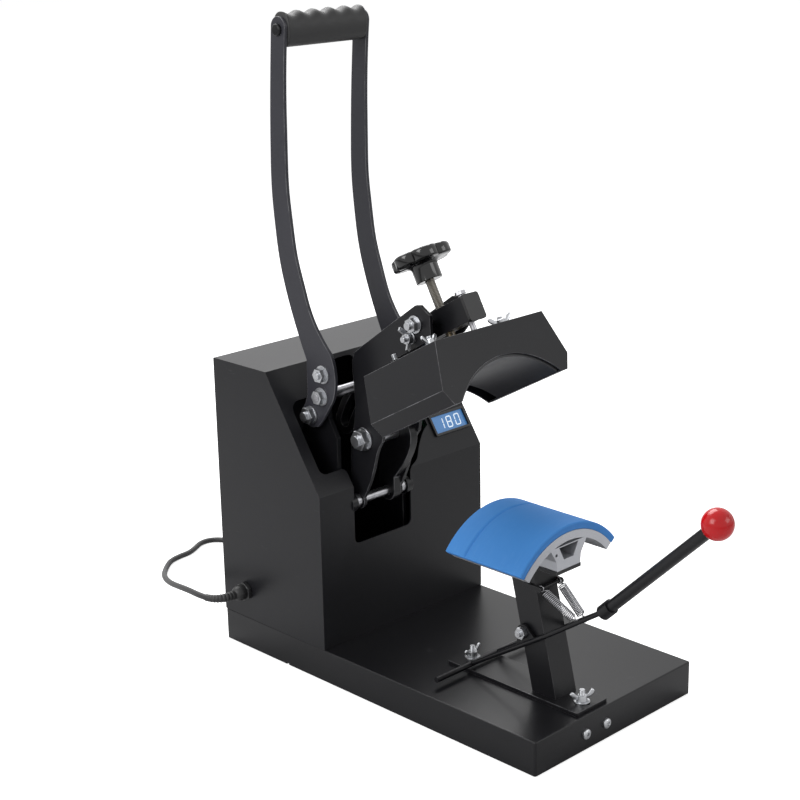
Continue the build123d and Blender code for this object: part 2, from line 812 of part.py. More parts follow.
# grip between the bars' tops: a tube core and a moulded sleeve with finger scallops
grip_screw = pan_screw(6.0, 3.5, 3.0, 16.0)
with BuildPart() as grip_rod:
    plane = Plane((mid_x, *side_point(grip_centre)), x_dir=(0, 1, 0), z_dir=(1, 0, 0))
    with BuildSketch(plane.offset(-handle_gap_half)):
        Circle(6)
    extrude(amount=2 * handle_gap_half)
    for side in (-1, 1):
        with Locations(Plane((mid_x + side * bar_outer, *side_point(grip_centre)), z_dir=(side, 0, 0))):
            add(grip_screw)
grip_rod.part.label = "grip_rod"
export_step(grip_rod.part, "parts/grip_rod.step")

with BuildPart() as handle_grip:
    with BuildSketch(Plane.YZ.offset(mid_x - handle_gap_half + 0.3)):
        with Locations(side_point(grip_centre)):
            RectangleRounded(2 * grip_radius - 2, grip_height, grip_radius - 2)
            Circle(6.05, mode=Mode.SUBTRACT)
    extrude(amount=2 * handle_gap_half - 0.6)
    # finger scallops along the top
    finger = (2 * handle_gap_half - 0.6) / 5
    with BuildSketch(Plane.XZ.offset(-back(grip_centre[0]) - 30)):
        for i in range(5):
            with Locations((mid_x + (i - 2) * finger, grip_centre[1] + grip_height / 2 + 14.5)):
                Circle(18)
    extrude(amount=60, mode=Mode.SUBTRACT)
handle_grip.part.label = "handle_grip"
export_step(handle_grip.part, "parts/handle_grip.step")

# ---------------------------------------------------------------- arms
arm_drawn_reach = 223.48  # the arm's outline is drawn for this reach and follows it


def arm_point(y, z):
    """A point of the arm's outline, y behind its shaft and z above it."""
    share = arm_reach / arm_drawn_reach
    return side_point((arm_pivot[0] + y * share, arm_pivot[1] + z * share))


def arm_outline():
    """One arm plate, in the YZ plane."""
    with BuildSketch() as outline:
        with BuildLine():
            Polyline(*[arm_point(*p) for p in [(-89, 224), (-15.5, 172), (0, 160), (4, 149)]])
            rear = Spline(
                arm_point(4, 149),
                *[arm_point(*p) for p in [(1.5, 119), (1, 95), (6, 69), (9.5, 44), (8.5, 21)]],
                arm_point(7, 6),
            )
            Line(rear @ 1, arm_point(-7, 1))
            front = Spline(
                arm_point(-7, 1),
                *[arm_point(*p) for p in [(-14.3, 14), (-21, 29), (-26, 44), (-31, 60)]],
                arm_point(-38.5, 72),
            )
            Polyline(front @ 1, *[arm_point(*p) for p in [(-53, 145), (-57, 163), (-103, 189), (-110, 198)]])
            Polyline(*[arm_point(*p) for p in [(-110, 198), (-109, 217), (-96, 225), (-89, 224)]])
        make_face()
        with Locations(side_point(arm_pivot)):
            Circle(9.5)
    return outline.sketch


clamp_reach = hypot(clamp_bolt[0] - tilt_bolt[0], clamp_bolt[1] - tilt_bolt[1])
clamp_start = direction(clamp_pivot, tilt_pivot)
clamp_slot = clamp_bolt_radius + 0.1
arm_names = {-1: "arm_plate_left", 1: "arm_plate_right"}
for side in (-1, 1):
    with BuildPart() as arm_plate:
        with BuildSketch(Plane.YZ.offset(mid_x + side * arm_half)):
            add(arm_outline())
            with Locations(side_point(arm_pivot)):
                Circle(arm_shaft_radius + shaft_fit, mode=Mode.SUBTRACT)
            with Locations(side_point(tilt_pivot)):
                Circle(tilt_bolt_radius + shaft_fit, mode=Mode.SUBTRACT)
            with Locations(side_point(cross_bolt)):
                Circle(cross_bolt_radius + shaft_fit, mode=Mode.SUBTRACT)
            # arc slot for the tilt clamp, centred on the tilt bolt
            with BuildLine():
                clamp_arc = CenterArc(
                    side_point(tilt_pivot), clamp_reach, clamp_start - tilt_travel - 1.5, tilt_travel + 3.0
                )
            trace(line_width=2 * clamp_slot, mode=Mode.SUBTRACT)
            with Locations(clamp_arc @ 0, clamp_arc @ 1):
                Circle(clamp_slot, mode=Mode.SUBTRACT)
        extrude(amount=side * arm_thickness)
    arm_plate.part.label = arm_names[side]
    export_step(arm_plate.part, "parts/" + arm_names[side] + ".step")

# path of the cross shaft's centre as the arm sees it
cam_steps = 12
cam_path = [
    turned(
        turned(push_rod, handle_pivot, handle_travel * i / cam_steps),
        arm_pivot,
        -arm_travel * i / cam_steps,
    )
    for i in range(cam_steps + 1)
]
slot_radius = push_rod_radius + 0.1
with BuildPart() as cam_plate:
    with BuildSketch(Plane.YZ.offset(mid_x + cam_inner)):
        with BuildLine():
            Polyline(
                side_point((arm_pivot[0] - 11, arm_pivot[1])),
                side_point((arm_pivot[0] + 11, arm_pivot[1])),
                side_point((cross_bolt[0] + 24, cross_bolt[1])),
                side_point((cam_path[-1][0], cam_path[-1][1] - 10)),
                side_point(cam_path[cam_steps // 2]),
                side_point((push_rod[0], push_rod[1])),
                side_point((cross_bolt[0] - 16, cross_bolt[1] + 12)),
            )
            # the front bulges between the arms
            Spline(
                side_point((cross_bolt[0] - 16, cross_bolt[1] + 12)),
                side_point((cross_bolt[0] - 24.5, cross_bolt[1] + 2)),
                side_point((cross_bolt[0] - 25, cross_bolt[1] - 9)),
                side_point((cross_bolt[0] - 20.5, cross_bolt[1] - 23)),
                side_point((cross_bolt[0] - 11.5, cross_bolt[1] - 38)),
                side_point((arm_pivot[0] - 11, arm_pivot[1] + 16)),
            )
            Line(
                side_point((arm_pivot[0] - 11, arm_pivot[1] + 16)),
                side_point((arm_pivot[0] - 11, arm_pivot[1])),
            )
        make_face()
        with Locations(side_point(arm_pivot)):
            Circle(11)
        with Locations(side_point(cross_bolt)):
            Circle(14)
        with BuildLine():
            Spline(*[side_point(p) for p in cam_path])
        trace(line_width=2 * (slot_radius + cam_wall))
        with Locations(side_point(cam_path[0]), side_point(cam_path[-1])):
            Circle(slot_radius + cam_wall)
        with BuildLine():
            Spline(*[side_point(p) for p in cam_path])
        trace(line_width=2 * slot_radius, mode=Mode.SUBTRACT)
        with Locations(side_point(cam_path[0]), side_point(cam_path[-1])):
            Circle(slot_radius, mode=Mode.SUBTRACT)
        with Locations(side_point(arm_pivot)):
            Circle(arm_shaft_radius + shaft_fit, mode=Mode.SUBTRACT)
        with Locations(side_point(cross_bolt)):
            Circle(cross_bolt_radius + shaft_fit, mode=Mode.SUBTRACT)
    extrude(amount=cam_thickness)
cam_plate.part.label = "cam_plate"
export_step(cam_plate.part, "parts/cam_plate.step")

with BuildPart() as arm_cross_bolt:
    plane = Plane((mid_x, *side_point(cross_bolt)), x_dir=(0, 1, 0), z_dir=(1, 0, 0))
    with BuildSketch(plane.offset(-arm_outer - 14)):
        Circle(cross_bolt_radius)
    extrude(amount=2 * arm_outer + 14)
    with BuildSketch(plane.offset(arm_outer)):
        RegularPolygon(hexagon(19), 6)
    extrude(amount=7.5)
    with BuildSketch(plane.offset(-arm_outer)):
        Circle(12)
    extrude(amount=-2)
    with BuildSketch(plane.offset(-arm_outer - 2)):
        RegularPolygon(hexagon(19), 6)
    extrude(amount=-8)
    # the spacer holds the cam plate against the right arm plate
    with BuildSketch(plane.offset(-arm_half)):
        Circle(9)
    extrude(amount=arm_half + cam_inner)
arm_cross_bolt.part.label = "arm_cross_bolt"
export_step(arm_cross_bolt.part, "parts/arm_cross_bolt.step")


# ---------------------------------------------------------------- head
def band(inner, outer, half_angle):
    """A ring sector about the origin, centred on +Y."""
    with BuildSketch() as sector:
        with BuildLine():
            rim = CenterArc((0, 0), outer, 90 - half_angle, 2 * half_angle)
            bore = CenterArc((0, 0), inner, 90 - half_angle, 2 * half_angle)
            Line(rim @ 0, bore @ 0)
            Line(rim @ 1, bore @ 1)
        make_face()
    return sector.sketch


stud_places = [(side * stud_half, y) for side in (-1, 1) for y in (stud_front, stud_back)]
guide_places = [(0, guide_front), (0, guide_back)]
cover_section = [
    (-cover_top_half, 0),
    (-cover_mid_half, -cover_mid_drop),
    (-cover_low_half, -cover_drop),
    (cover_low_half, -cover_drop),
    (cover_mid_half, -cover_mid_drop),
    (cover_top_half, 0),
    (-cover_top_half, 0),
]
with BuildPart() as head_cover:
    with BuildSketch(head_section):
        with BuildLine():
            Polyline(*cover_section)
        make_face()
    extrude(amount=-cover_length)
    with BuildSketch(head_section.offset(-cover_wall)):
        with BuildLine():
            Polyline(*cover_section)
        make_face()
        offset(amount=-cover_wall, kind=Kind.INTERSECTION)
    extrude(amount=-(cover_length - 2 * cover_wall), mode=Mode.SUBTRACT)
    with BuildSketch(head_section.offset(2)):
        with Locations((0, -arch_drop)):
            Circle(arch_radius)
    extrude(amount=-(cover_length + 4), mode=Mode.SUBTRACT)
    with BuildSketch(head_top.offset(2)):
        with Locations(*stud_places):
            Circle(stud_radius + shaft_fit)
    extrude(amount=-6, mode=Mode.SUBTRACT)
head_cover.part.label = "head_cover"
export_step(head_cover.part, "parts/head_cover.step")

platen_outer = platen_radius + platen_thickness
boss_top = -28.0
boss_radius = 6.0
with BuildPart() as upper_platen:
    with BuildSketch(head_section.offset(-platen_front)):
        with Locations((0, -arch_drop)):
            add(band(platen_radius, platen_outer, platen_half_angle))
    extrude(amount=-platen_length)
    boss_low = sqrt(platen_outer**2 - (stud_half + boss_radius) ** 2) - arch_drop
    with BuildSketch(head_top.offset(boss_low)):
        with Locations(*stud_places):
            Circle(boss_radius)
    extrude(amount=boss_top - boss_low)
    with BuildSketch(head_top.offset(boss_top - 6)):
        with Locations(*stud_places):
            Circle(stud_radius + shaft_fit)
    extrude(amount=6, mode=Mode.SUBTRACT)
upper_platen.part.label = "upper_platen"
export_step(upper_platen.part, "parts/upper_platen.step")

heater_outer = platen_outer + heater_thickness
with BuildPart() as heating_element:
    with BuildSketch(head_section.offset(-platen_front - 2)):
        with Locations((0, -arch_drop)):
            add(band(platen_outer + 0.05, heater_outer, platen_half_angle - 1))
    extrude(amount=-(platen_length - 4))
    with BuildSketch(head_top.offset(-60)):
        with Locations(*stud_places):
            Circle(6.5)
    extrude(amount=50, mode=Mode.SUBTRACT)
heating_element.part.label = "heating_element"
export_step(heating_element.part, "parts/heating_element.step")

with BuildPart() as insulation:
    with BuildSketch(head_section.offset(-platen_front - 2)):
        with Locations((0, -arch_drop)):
            add(band(heater_outer + 0.05, heater_outer + insulation_thickness, platen_half_angle - 1))
    extrude(amount=-(platen_length - 4))
    with BuildSketch(head_top.offset(-60)):
        with Locations(*stud_places):
            Circle(6.5)
    extrude(amount=50, mode=Mode.SUBTRACT)
insulation.part.label = "insulation"
export_step(insulation.part, "parts/insulation.step")

with BuildPart() as head_studs:
    with BuildSketch(head_top.offset(boss_top - 6)):
        with Locations(*stud_places):
            Circle(stud_radius)
    extrude(amount=-boss_top + 6 + 10)
    with BuildSketch(head_top.offset(boss_top)):
        with Locations(*stud_places):
            Circle(5)
    extrude(amount=-boss_top - cover_wall)
head_studs.part.label = "head_studs"
export_step(head_studs.part, "parts/head_studs.step")

front_studs = [p for p in stud_places if p[1] == stud_front]
rear_studs = [p for p in stud_places if p[1] == stud_back]
with BuildPart() as head_wing_nuts:
    with Locations(head_top.offset(1.2)):
        with Locations(*front_studs):
            add(stud_wing_nut)
    with BuildSketch(head_top):
        with Locations(*front_studs):
            Circle(8)
        with Locations(*front_studs):
            Circle(stud_radius + shaft_fit, mode=Mode.SUBTRACT)
    extrude(amount=1.2)
head_wing_nuts.part.label = "head_wing_nuts"
export_step(head_wing_nuts.part, "parts/head_wing_nuts.step")

stud_nut = hex_nut(10.0, 4.0, stud_radius + shaft_fit)
with BuildPart() as head_rear_nuts:
    with Locations(head_top):
        with Locations(*rear_studs):
            add(stud_nut)
head_rear_nuts.part.label = "head_rear_nuts"
export_step(head_rear_nuts.part, "parts/head_rear_nuts.step")

with BuildPart() as guide_pins:
    with BuildSketch(head_top):
        with Locations(*guide_places):
            Circle(guide_radius)
    extrude(amount=guide_top)
    with BuildSketch(head_top):
        with Locations(*guide_places):
            Circle(6)
    extrude(amount=2)
    with BuildSketch(head_top.offset(guide_top - 4)):
        with Locations(*guide_places):
            RegularPolygon(hexagon(10), 6)
    extrude(amount=4)
guide_pins.part.label = "guide_pins"
export_step(guide_pins.part, "parts/guide_pins.step")

with BuildPart() as screw_bearing:
    with BuildSketch(head_top):
        with Locations((0, screw_y)):
            Circle(bearing_radius)
    extrude(amount=bearing_height)
    with BuildSketch(head_top.offset(1.5)):
        with Locations((0, screw_y)):
            Circle(screw_radius + shaft_fit)
    extrude(amount=bearing_height, mode=Mode.SUBTRACT)
screw_bearing.part.label = "screw_bearing"
export_step(screw_bearing.part, "parts/screw_bearing.step")

with BuildPart() as pressure_screw:
    with BuildSketch(head_top.offset(1.6)):
        with Locations((0, screw_y)):
            Circle(screw_radius)
    extrude(amount=screw_top - 1.6)
pressure_screw.part.label = "pressure_screw"
export_step(pressure_screw.part, "parts/pressure_screw.step")

with BuildPart() as pressure_knob:
    with BuildSketch(head_top.offset(knob_bottom)):
        with Locations((0, screw_y)):
            Circle(knob_hub_radius)
    extrude(amount=knob_rim_low - knob_bottom)
    with BuildSketch(head_top.offset(knob_rim_low)):
        with Locations((0, screw_y)):
            Circle(knob_radius - 4.5)
            with PolarLocations(knob_radius - 9, 6):
                Circle(9)
    extrude(amount=knob_rim_high - knob_rim_low)
    fillet(pressure_knob.edges().group_by(Axis(head_origin, head_top.z_dir))[-1], 3.5)
    with BuildSketch(head_top.offset(knob_bottom)):
        with Locations((0, screw_y)):
            Circle(screw_radius + shaft_fit)
    extrude(amount=screw_top - knob_bottom + 0.1, mode=Mode.SUBTRACT)
pressure_knob.part.label = "pressure_knob"
export_step(pressure_knob.part, "parts/pressure_knob.step")

# ---------------------------------------------------------------- carrier
carrier_height = carrier_high - carrier_low
carrier_mid = (carrier_high + carrier_low) / 2
bush_radius = 7.0
with BuildPart() as carrier_tube:
    with BuildSketch(head_section.offset(-carrier_front)):
        with Locations((0, carrier_mid)):
            Rectangle(2 * carrier_half, carrier_height)
            Rectangle(
                2 * (carrier_half - carrier_wall),
                carrier_height - 2 * carrier_wall,
                mode=Mode.SUBTRACT,
            )
    extrude(amount=-(carrier_back - carrier_front))
    with BuildSketch(head_top.offset(carrier_low - 1)):
        with Locations((0, screw_y)):
            Circle(bush_radius)
        with Locations(*guide_places):
            Circle(guide_radius + shaft_fit)
    extrude(amount=carrier_height + 2, mode=Mode.SUBTRACT)
    with BuildSketch(head_side.offset(-carrier_half - 1)):
        with Locations(tilt_bolt):
            Circle(tilt_bolt_radius + shaft_fit)
        with Locations(clamp_bolt):
            Circle(clamp_bolt_radius + shaft_fit)
    extrude(amount=2 * carrier_half + 2, mode=Mode.SUBTRACT)
    # welded bush for the pressure screw
    with BuildSketch(head_top.offset(carrier_low)):
        with Locations((0, screw_y)):
            Circle(bush_radius)
    extrude(amount=carrier_height)
    with BuildSketch(head_top.offset(carrier_low)):
        with Locations((0, screw_y)):
            Circle(screw_radius + shaft_fit)
    extrude(amount=carrier_height + 2, mode=Mode.SUBTRACT)
carrier_tube.part.label = "carrier_tube"
export_step(carrier_tube.part, "parts/carrier_tube.step")

# moulded plugs close the tube's ends, a little proud of it
plug_rim = 1.2
plug_flange = 3.5
with BuildPart() as tube_plugs:
    for end, out in ((carrier_front, 1), (carrier_back, -1)):
        plane = head_section.offset(-end)
        with BuildSketch(plane):
            with Locations((0, carrier_mid)):
                RectangleRounded(2 * (carrier_half + plug_rim), carrier_height + 2 * plug_rim, 3)
        extrude(amount=out * plug_flange)
        with BuildSketch(plane):
            with Locations((0, carrier_mid)):
                Rectangle(2 * (carrier_half - carrier_wall), carrier_height - 2 * carrier_wall)
        extrude(amount=-out * 5)
tube_plugs.part.label = "tube_plugs"
export_step(tube_plugs.part, "parts/tube_plugs.step")

clamp_wing = wing_nut(5.5, 6.0, 1.0)
clamp_face = head_side.offset(-arm_outer).from_local_coords((clamp_bolt[0], clamp_bolt[1], 0))
with BuildPart() as tilt_fasteners:
    # both bolts, their heads on the right
    with BuildSketch(head_side.offset(-arm_outer - 12)):
        with Locations(tilt_bolt):
            Circle(tilt_bolt_radius)
        with Locations(clamp_bolt):
            Circle(clamp_bolt_radius)
    extrude(amount=2 * arm_outer + 12)
    with BuildSketch(head_side.offset(arm_outer)):
        with Locations(tilt_bolt):
            RegularPolygon(hexagon(13), 6)
        with Locations(clamp_bolt):
            Circle(5.5)
    extrude(amount=4.5)
    # washers and nuts on the left
    with BuildSketch(head_side.offset(-arm_outer)):
        with Locations(tilt_bolt):
            Circle(9)
        with Locations(clamp_bolt):
            Circle(6.5)
    extrude(amount=-1.4)
    with BuildSketch(head_side.offset(-arm_outer - 1.4)):
        with Locations(tilt_bolt):
            RegularPolygon(hexagon(13), 6)
    extrude(amount=-6.5)
    with Locations(Plane(clamp_face - Vector(1.4, 0, 0), x_dir=(0, sin(tilt), cos(tilt)), z_dir=(-1, 0, 0))):
        add(clamp_wing)
    # spacers between the tube and the arms
    for side in (-1, 1):
        with BuildSketch(head_side.offset(side * carrier_half)):
            with Locations(tilt_bolt):
                Circle(7)
            with Locations(clamp_bolt):
                Circle(5.5)
        extrude(amount=side * (arm_half - carrier_half))
tilt_fasteners.part.label = "tilt_fasteners"
export_step(tilt_fasteners.part, "parts/tilt_fasteners.step")

# ---------------------------------------------------------------- stand
with BuildPart() as stand_plate:
    with BuildSketch(Plane.XY.offset(base_height)):
        with Locations((mid_x, back(plate_front + plate_length / 2))):
            Rectangle(2 * plate_half, plate_length)
        with Locations((mid_x, back(stand_stud_front)), (mid_x, back(stand_stud_back))):
            SlotOverall(
                2 * (stand_travel + stand_stud_radius + 0.3),
                2 * (stand_stud_radius + 0.15),
                rotation=90,
                mode=Mode.SUBTRACT,
            )
    extrude(amount=plate_thickness)
    fillet(stand_plate.edges().filter_by(Axis.Z).group_by(Axis.X)[0], 2)
    fillet(stand_plate.edges().filter_by(Axis.Z).group_by(Axis.X)[-1], 2)
stand_plate.part.label = "stand_plate"
export_step(stand_plate.part, "parts/stand_plate.step")

hanger_half = 2.8
lean = radians(post_lean)
lean_axis = Vector(0, sin(lean), cos(lean))
bracket_low = 172.0
post_length = (bracket_low - stand_top) / cos(lean)
post_mid = post_front + post_size / 2
with BuildPart() as stand_post:
    with BuildSketch(Plane.XY.offset(stand_top)):
        with Locations((mid_x, back(post_mid))):
            Rectangle(post_size, post_size)
            Rectangle(post_size - 2 * post_wall, post_size - 2 * post_wall, mode=Mode.SUBTRACT)
    extrude(amount=post_length, dir=lean_axis)
    with BuildSketch(Plane.YZ.offset(mid_x - post_size)):
        with Locations(side_point(lever_pivot)):
            Circle(3.05)
    extrude(amount=2 * post_size, mode=Mode.SUBTRACT)
    # welded ears and the pin that the lever springs hang on
    for side in (-1, 1):
        with BuildSketch(Plane.YZ.offset(mid_x + side * post_size / 2)):
            with Locations(side_point((spring_top[0] + 10, spring_top[1]))):
                Rectangle(20, 2 * hanger_half)
            with Locations(side_point(spring_top[:2])):
                Circle(hanger_half)
        extrude(amount=side * 2.2)
    with BuildSketch(Plane.YZ.offset(mid_x - post_size / 2 - 2.2)):
        with Locations(side_point(spring_top[:2])):
            Circle(1.8)
    extrude(amount=post_size + 4.4)
stand_post.part.label = "stand_post"
export_step(stand_post.part, "parts/stand_post.step")

lug_inner = lever_half - 3.0
bracket_half = cradle_foot_half + 1
bracket_top = bracket_low + bracket_thickness
with BuildPart() as cradle_bracket:
    with BuildSketch(Plane.XZ.offset(-back(pad_front))):
        with Locations((mid_x, bracket_low + bracket_thickness / 2)):
            Rectangle(2 * bracket_half, bracket_thickness)
    extrude(amount=-pad_length)
    with Locations(*[(mid_x, back(d), bracket_low) for d in (pad_front + 12, pad_front + pad_length - 20)]):
        Hole(2.6, depth=2 * bracket_thickness)
cradle_bracket.part.label = "cradle_bracket"
export_step(cradle_bracket.part, "parts/cradle_bracket.step")

bracket_screw_y = (pad_front + 12, pad_front + pad_length - 20)
bracket_screw = pan_screw(5.0, 3.0, 2.5, bracket_thickness + 7)
with BuildPart() as stand_fasteners:
    for d in bracket_screw_y:
        with Locations(Plane((mid_x, back(d), bracket_low), z_dir=(0, 0, -1))):
            add(bracket_screw)
    # lever pivot bolt with its collars, head on the right and nut on the left
    with BuildSketch(Plane.YZ.offset(mid_x - lever_half - 9)):
        with Locations(side_point(lever_pivot)):
            Circle(3.0)
    extrude(amount=2 * lever_half + 9)
    with BuildSketch(Plane.YZ.offset(mid_x + lever_half + 0.1)):
        with Locations(side_point(lever_pivot)):
            Circle(6)
    extrude(amount=3.5)
    with BuildSketch(Plane.YZ.offset(mid_x - lever_half - 0.1)):
        with Locations(side_point(lever_pivot)):
            RegularPolygon(hexagon(11), 6)
    extrude(amount=-5.5)
    for side in (-1, 1):
        with BuildSketch(Plane.YZ.offset(mid_x + side * post_size / 2)):
            with Locations(side_point(lever_pivot)):
                Circle(6)
        extrude(amount=side * (lug_inner - post_size / 2 - 0.1))
stand_fasteners.part.label = "stand_fasteners"
export_step(stand_fasteners.part, "parts/stand_fasteners.step")

pad_inner = pad_radius - pad_thickness
cradle_inner = pad_inner - cradle_thickness
with BuildPart() as pad_cradle:
    with BuildSketch(Plane.XZ.offset(-back(pad_front))):
        with Locations((mid_x, pad_centre_z)):
            add(band(cradle_inner, pad_inner - 0.1, pad_half_angle - 0.5))
        with BuildLine():
            Polyline(
                (mid_x - cradle_foot_half, bracket_top),
                (mid_x + cradle_foot_half, bracket_top),
                (mid_x + cradle_foot_half + 1, bracket_top + 10),
                (mid_x + cradle_foot_half + cradle_flare, pad_centre_z + cradle_inner - 3),
                (mid_x - cradle_foot_half - cradle_flare, pad_centre_z + cradle_inner - 3),
                (mid_x - cradle_foot_half - 1, bracket_top + 10),
                close=True,
            )
        make_face()
        with BuildLine():
            Polyline(
                (mid_x - 7, bracket_top + 10),
                (mid_x + 7, bracket_top + 10),
                (mid_x + 14, pad_centre_z + cradle_inner - 4),
                (mid_x - 14, pad_centre_z + cradle_inner - 4),
                close=True,
            )
        make_face(mode=Mode.SUBTRACT)
    extrude(amount=-pad_length)
    # blind hole for the pad's sensor
    with Locations(Plane((mid_x - 18, back(pad_front), bracket_top + 17), z_dir=(0, -1, 0))):
        Hole(1.6, depth=8)
    with Locations(*[(mid_x, back(d), bracket_top) for d in bracket_screw_y]):
        Cylinder(2.55, 8, align=(Align.CENTER, Align.CENTER, Align.MIN), mode=Mode.SUBTRACT)
pad_cradle.part.label = "pad_cradle"
export_step(pad_cradle.part, "parts/pad_cradle.step")

with BuildPart() as lower_pad:
    with BuildSketch(Plane.XZ.offset(-back(pad_front))):
        with Locations((mid_x, pad_centre_z)):
            add(band(pad_inner, pad_radius, pad_half_angle))
    extrude(amount=-pad_length)
lower_pad.part.label = "lower_pad"
export_step(lower_pad.part, "parts/lower_pad.step")

# ---------------------------------------------------------------- cap lever
rod_run = hypot(ball_centre[0] - lever_joint[0], ball_centre[1] - lever_joint[1])
rod_dir = Vector(
    0,
    (ball_centre[0] - lever_joint[0]) / rod_run,
    (ball_centre[1] - lever_joint[1]) / rod_run,
)
joint_point = Vector(mid_x, *side_point(lever_joint))
rod_plane = Plane(joint_point, x_dir=(1, 0, 0), z_dir=rod_dir)
lever_bend = (48.0, 106.9)
pin_share = (lever_bend[0] - spring_low[0]) / (lever_bend[0] - lever_joint[0])
pin_half = lever_half * (1 - pin_share)
pin_place = (
    spring_low[0],
    lever_bend[1] + (lever_joint[1] - lever_bend[1]) * pin_share,
)
with BuildPart() as lever_frame:
    for side in (-1, 1):
        rear_end = Vector(mid_x + side * lever_half, *side_point(lever_rear))
        with BuildLine() as lever_path:
            FilletPolyline(
                rear_end,
                Vector(mid_x + side * lever_half, *side_point(lever_bend)),
                joint_point,
                radius=14,
            )
        with BuildSketch(Plane(rear_end, z_dir=lever_path.line % 0)):
            Circle(lever_rod_radius)
        sweep(path=lever_path.line)
        with BuildSketch(Plane.YZ.offset(mid_x + side * lug_inner)):
            with Locations(side_point(lever_pivot)):
                Circle(8)
            with Locations(side_point((lever_pivot[0] + 6, 84.7)), side_point((lever_pivot[0] - 14, 97.1))):
                Circle(2.2)
            make_hull()
        extrude(amount=side * 3.0)
    with BuildSketch(Plane.YZ.offset(mid_x - lever_bar_half)):
        with Locations(side_point(lever_rear)):
            Circle(lever_bar_radius)
    extrude(amount=2 * lever_bar_half)
    with BuildSketch(Plane.YZ.offset(mid_x - pin_half)):
        with Locations(side_point(pin_place)):
            Circle(1.8)
    extrude(amount=2 * pin_half)
    with BuildSketch(rod_plane.offset(-5)):
        Circle(handle_rod_radius + 1.6)
    extrude(amount=14)
    with BuildSketch(rod_plane):
        Circle(handle_rod_radius + shaft_fit)
    extrude(amount=14, mode=Mode.SUBTRACT)
    with BuildSketch(Plane.YZ.offset(mid_x - lever_half - 3)):
        with Locations(side_point(lever_pivot)):
            Circle(3.05)
    extrude(amount=2 * lever_half + 6, mode=Mode.SUBTRACT)
lever_frame.part.label = "lever_frame"
export_step(lever_frame.part, "parts/lever_frame.step")

with BuildPart() as lever_rod:
    with BuildSketch(rod_plane):
        Circle(handle_rod_radius)
    extrude(amount=rod_run + 4)
lever_rod.part.label = "lever_rod"
export_step(lever_rod.part, "parts/lever_rod.step")

with BuildPart() as lever_ball:
    with Locations(rod_plane.offset(rod_run)):
        Sphere(ball_radius)
    with BuildSketch(rod_plane.offset(rod_run - ball_radius - 1)):
        Circle(handle_rod_radius + shaft_fit)
    extrude(amount=ball_radius + 5, mode=Mode.SUBTRACT)
lever_ball.part.label = "lever_ball"
export_step(lever_ball.part, "parts/lever_ball.step")

with BuildPart() as lever_springs:
    for side in (-1, 1):
        low = Vector(mid_x + side * spring_low[1], *side_point(pin_place))
        high = Vector(mid_x + side * spring_top[2], *side_point(spring_top[:2]))
        axis = (high - low).normalized()
        run = (high - low).length
        plane = Plane(low, z_dir=axis)
        with BuildSketch(plane.offset(spring_hook)):
            Circle(spring_radius)
        extrude(amount=run - 2 * spring_hook)
        # an eye round the pin at each end
        for centre in (low, high):
            with BuildSketch(Plane(centre, x_dir=axis, z_dir=(axis.cross(Vector(1, 0, 0)).cross(axis)))):
                Circle(3.6)
                Circle(2.1, mode=Mode.SUBTRACT)
            extrude(amount=0.7, both=True)
        for eye, way in ((low, axis), (high, -axis)):
            with BuildSketch(Plane(eye + way * 2.6, z_dir=way)):
                Circle(0.7)
            extrude(amount=spring_hook - 2.1)
lever_springs.part.label = "lever_springs"
export_step(lever_springs.part, "parts/lever_springs.step")

# ---------------------------------------------------------------- controller
bezel_width = lcd_width + 2 * bezel_rim
bezel_height = lcd_height + 2 * bezel_rim
with BuildPart() as display_bezel:
    with BuildSketch(slope_plane):
        with Locations((lcd_x, lcd_up)):
            RectangleRounded(bezel_width, bezel_height, 2)
    extrude(amount=2.6)
    with BuildSketch(slope_plane):
        with Locations((lcd_x, lcd_up)):
            Rectangle(lcd_width + 0.6, lcd_height + 0.6)
    extrude(amount=-4)
    with BuildSketch(slope_plane):
        with Locations((lcd_x, lcd_up)):
            Rectangle(lcd_width - 2, lcd_height - 2)
    extrude(amount=-4, mode=Mode.SUBTRACT)
    with BuildSketch(slope_plane):
        with Locations((lcd_x, lcd_up)):
            Rectangle(lcd_width - 2.4, lcd_height - 2.4)
    extrude(amount=4, mode=Mode.SUBTRACT)
display_bezel.part.label = "display_bezel"
export_step(display_bezel.part, "parts/display_bezel.step")

with BuildPart() as lcd_panel:
    with BuildSketch(slope_plane):
        with Locations((lcd_x, lcd_up)):
            Rectangle(lcd_width - 2.2, lcd_height - 2.2)
    extrude(amount=-3.5)
lcd_panel.part.label = "lcd_panel"
export_step(lcd_panel.part, "parts/lcd_panel.step")

board_depth = 10.5
key_places = [(lcd_x + (i - 1) * key_pitch, key_up_slope) for i in range(3)]
with BuildPart() as control_board:
    with BuildSketch(slope_plane.offset(-board_depth)):
        with Locations((lcd_x, 48)):
            Rectangle(54, 62)
    extrude(amount=-1.6)
    with BuildSketch(slope_plane.offset(-board_depth)):
        with Locations((lcd_x, lcd_up)):
            Rectangle(lcd_width - 3, lcd_height - 3)
    extrude(amount=board_depth - 3.5)
    with BuildSketch(slope_plane.offset(-board_depth)):
        with Locations((lcd_x, 48)):
            with GridLocations(48, 56, 2, 2):
                Circle(2.6)
    extrude(amount=board_depth - housing_wall)
    with BuildSketch(slope_plane.offset(-board_depth)):
        with Locations(*key_places):
            Rectangle(6, 6)
    extrude(amount=3.4)
    with BuildSketch(slope_plane.offset(-board_depth - 1.6)):
        with Locations((lcd_x - 10, 58), (lcd_x + 12, 34)):
            Rectangle(18, 14)
    extrude(amount=-6)
control_board.part.label = "control_board"
export_step(control_board.part, "parts/control_board.step")

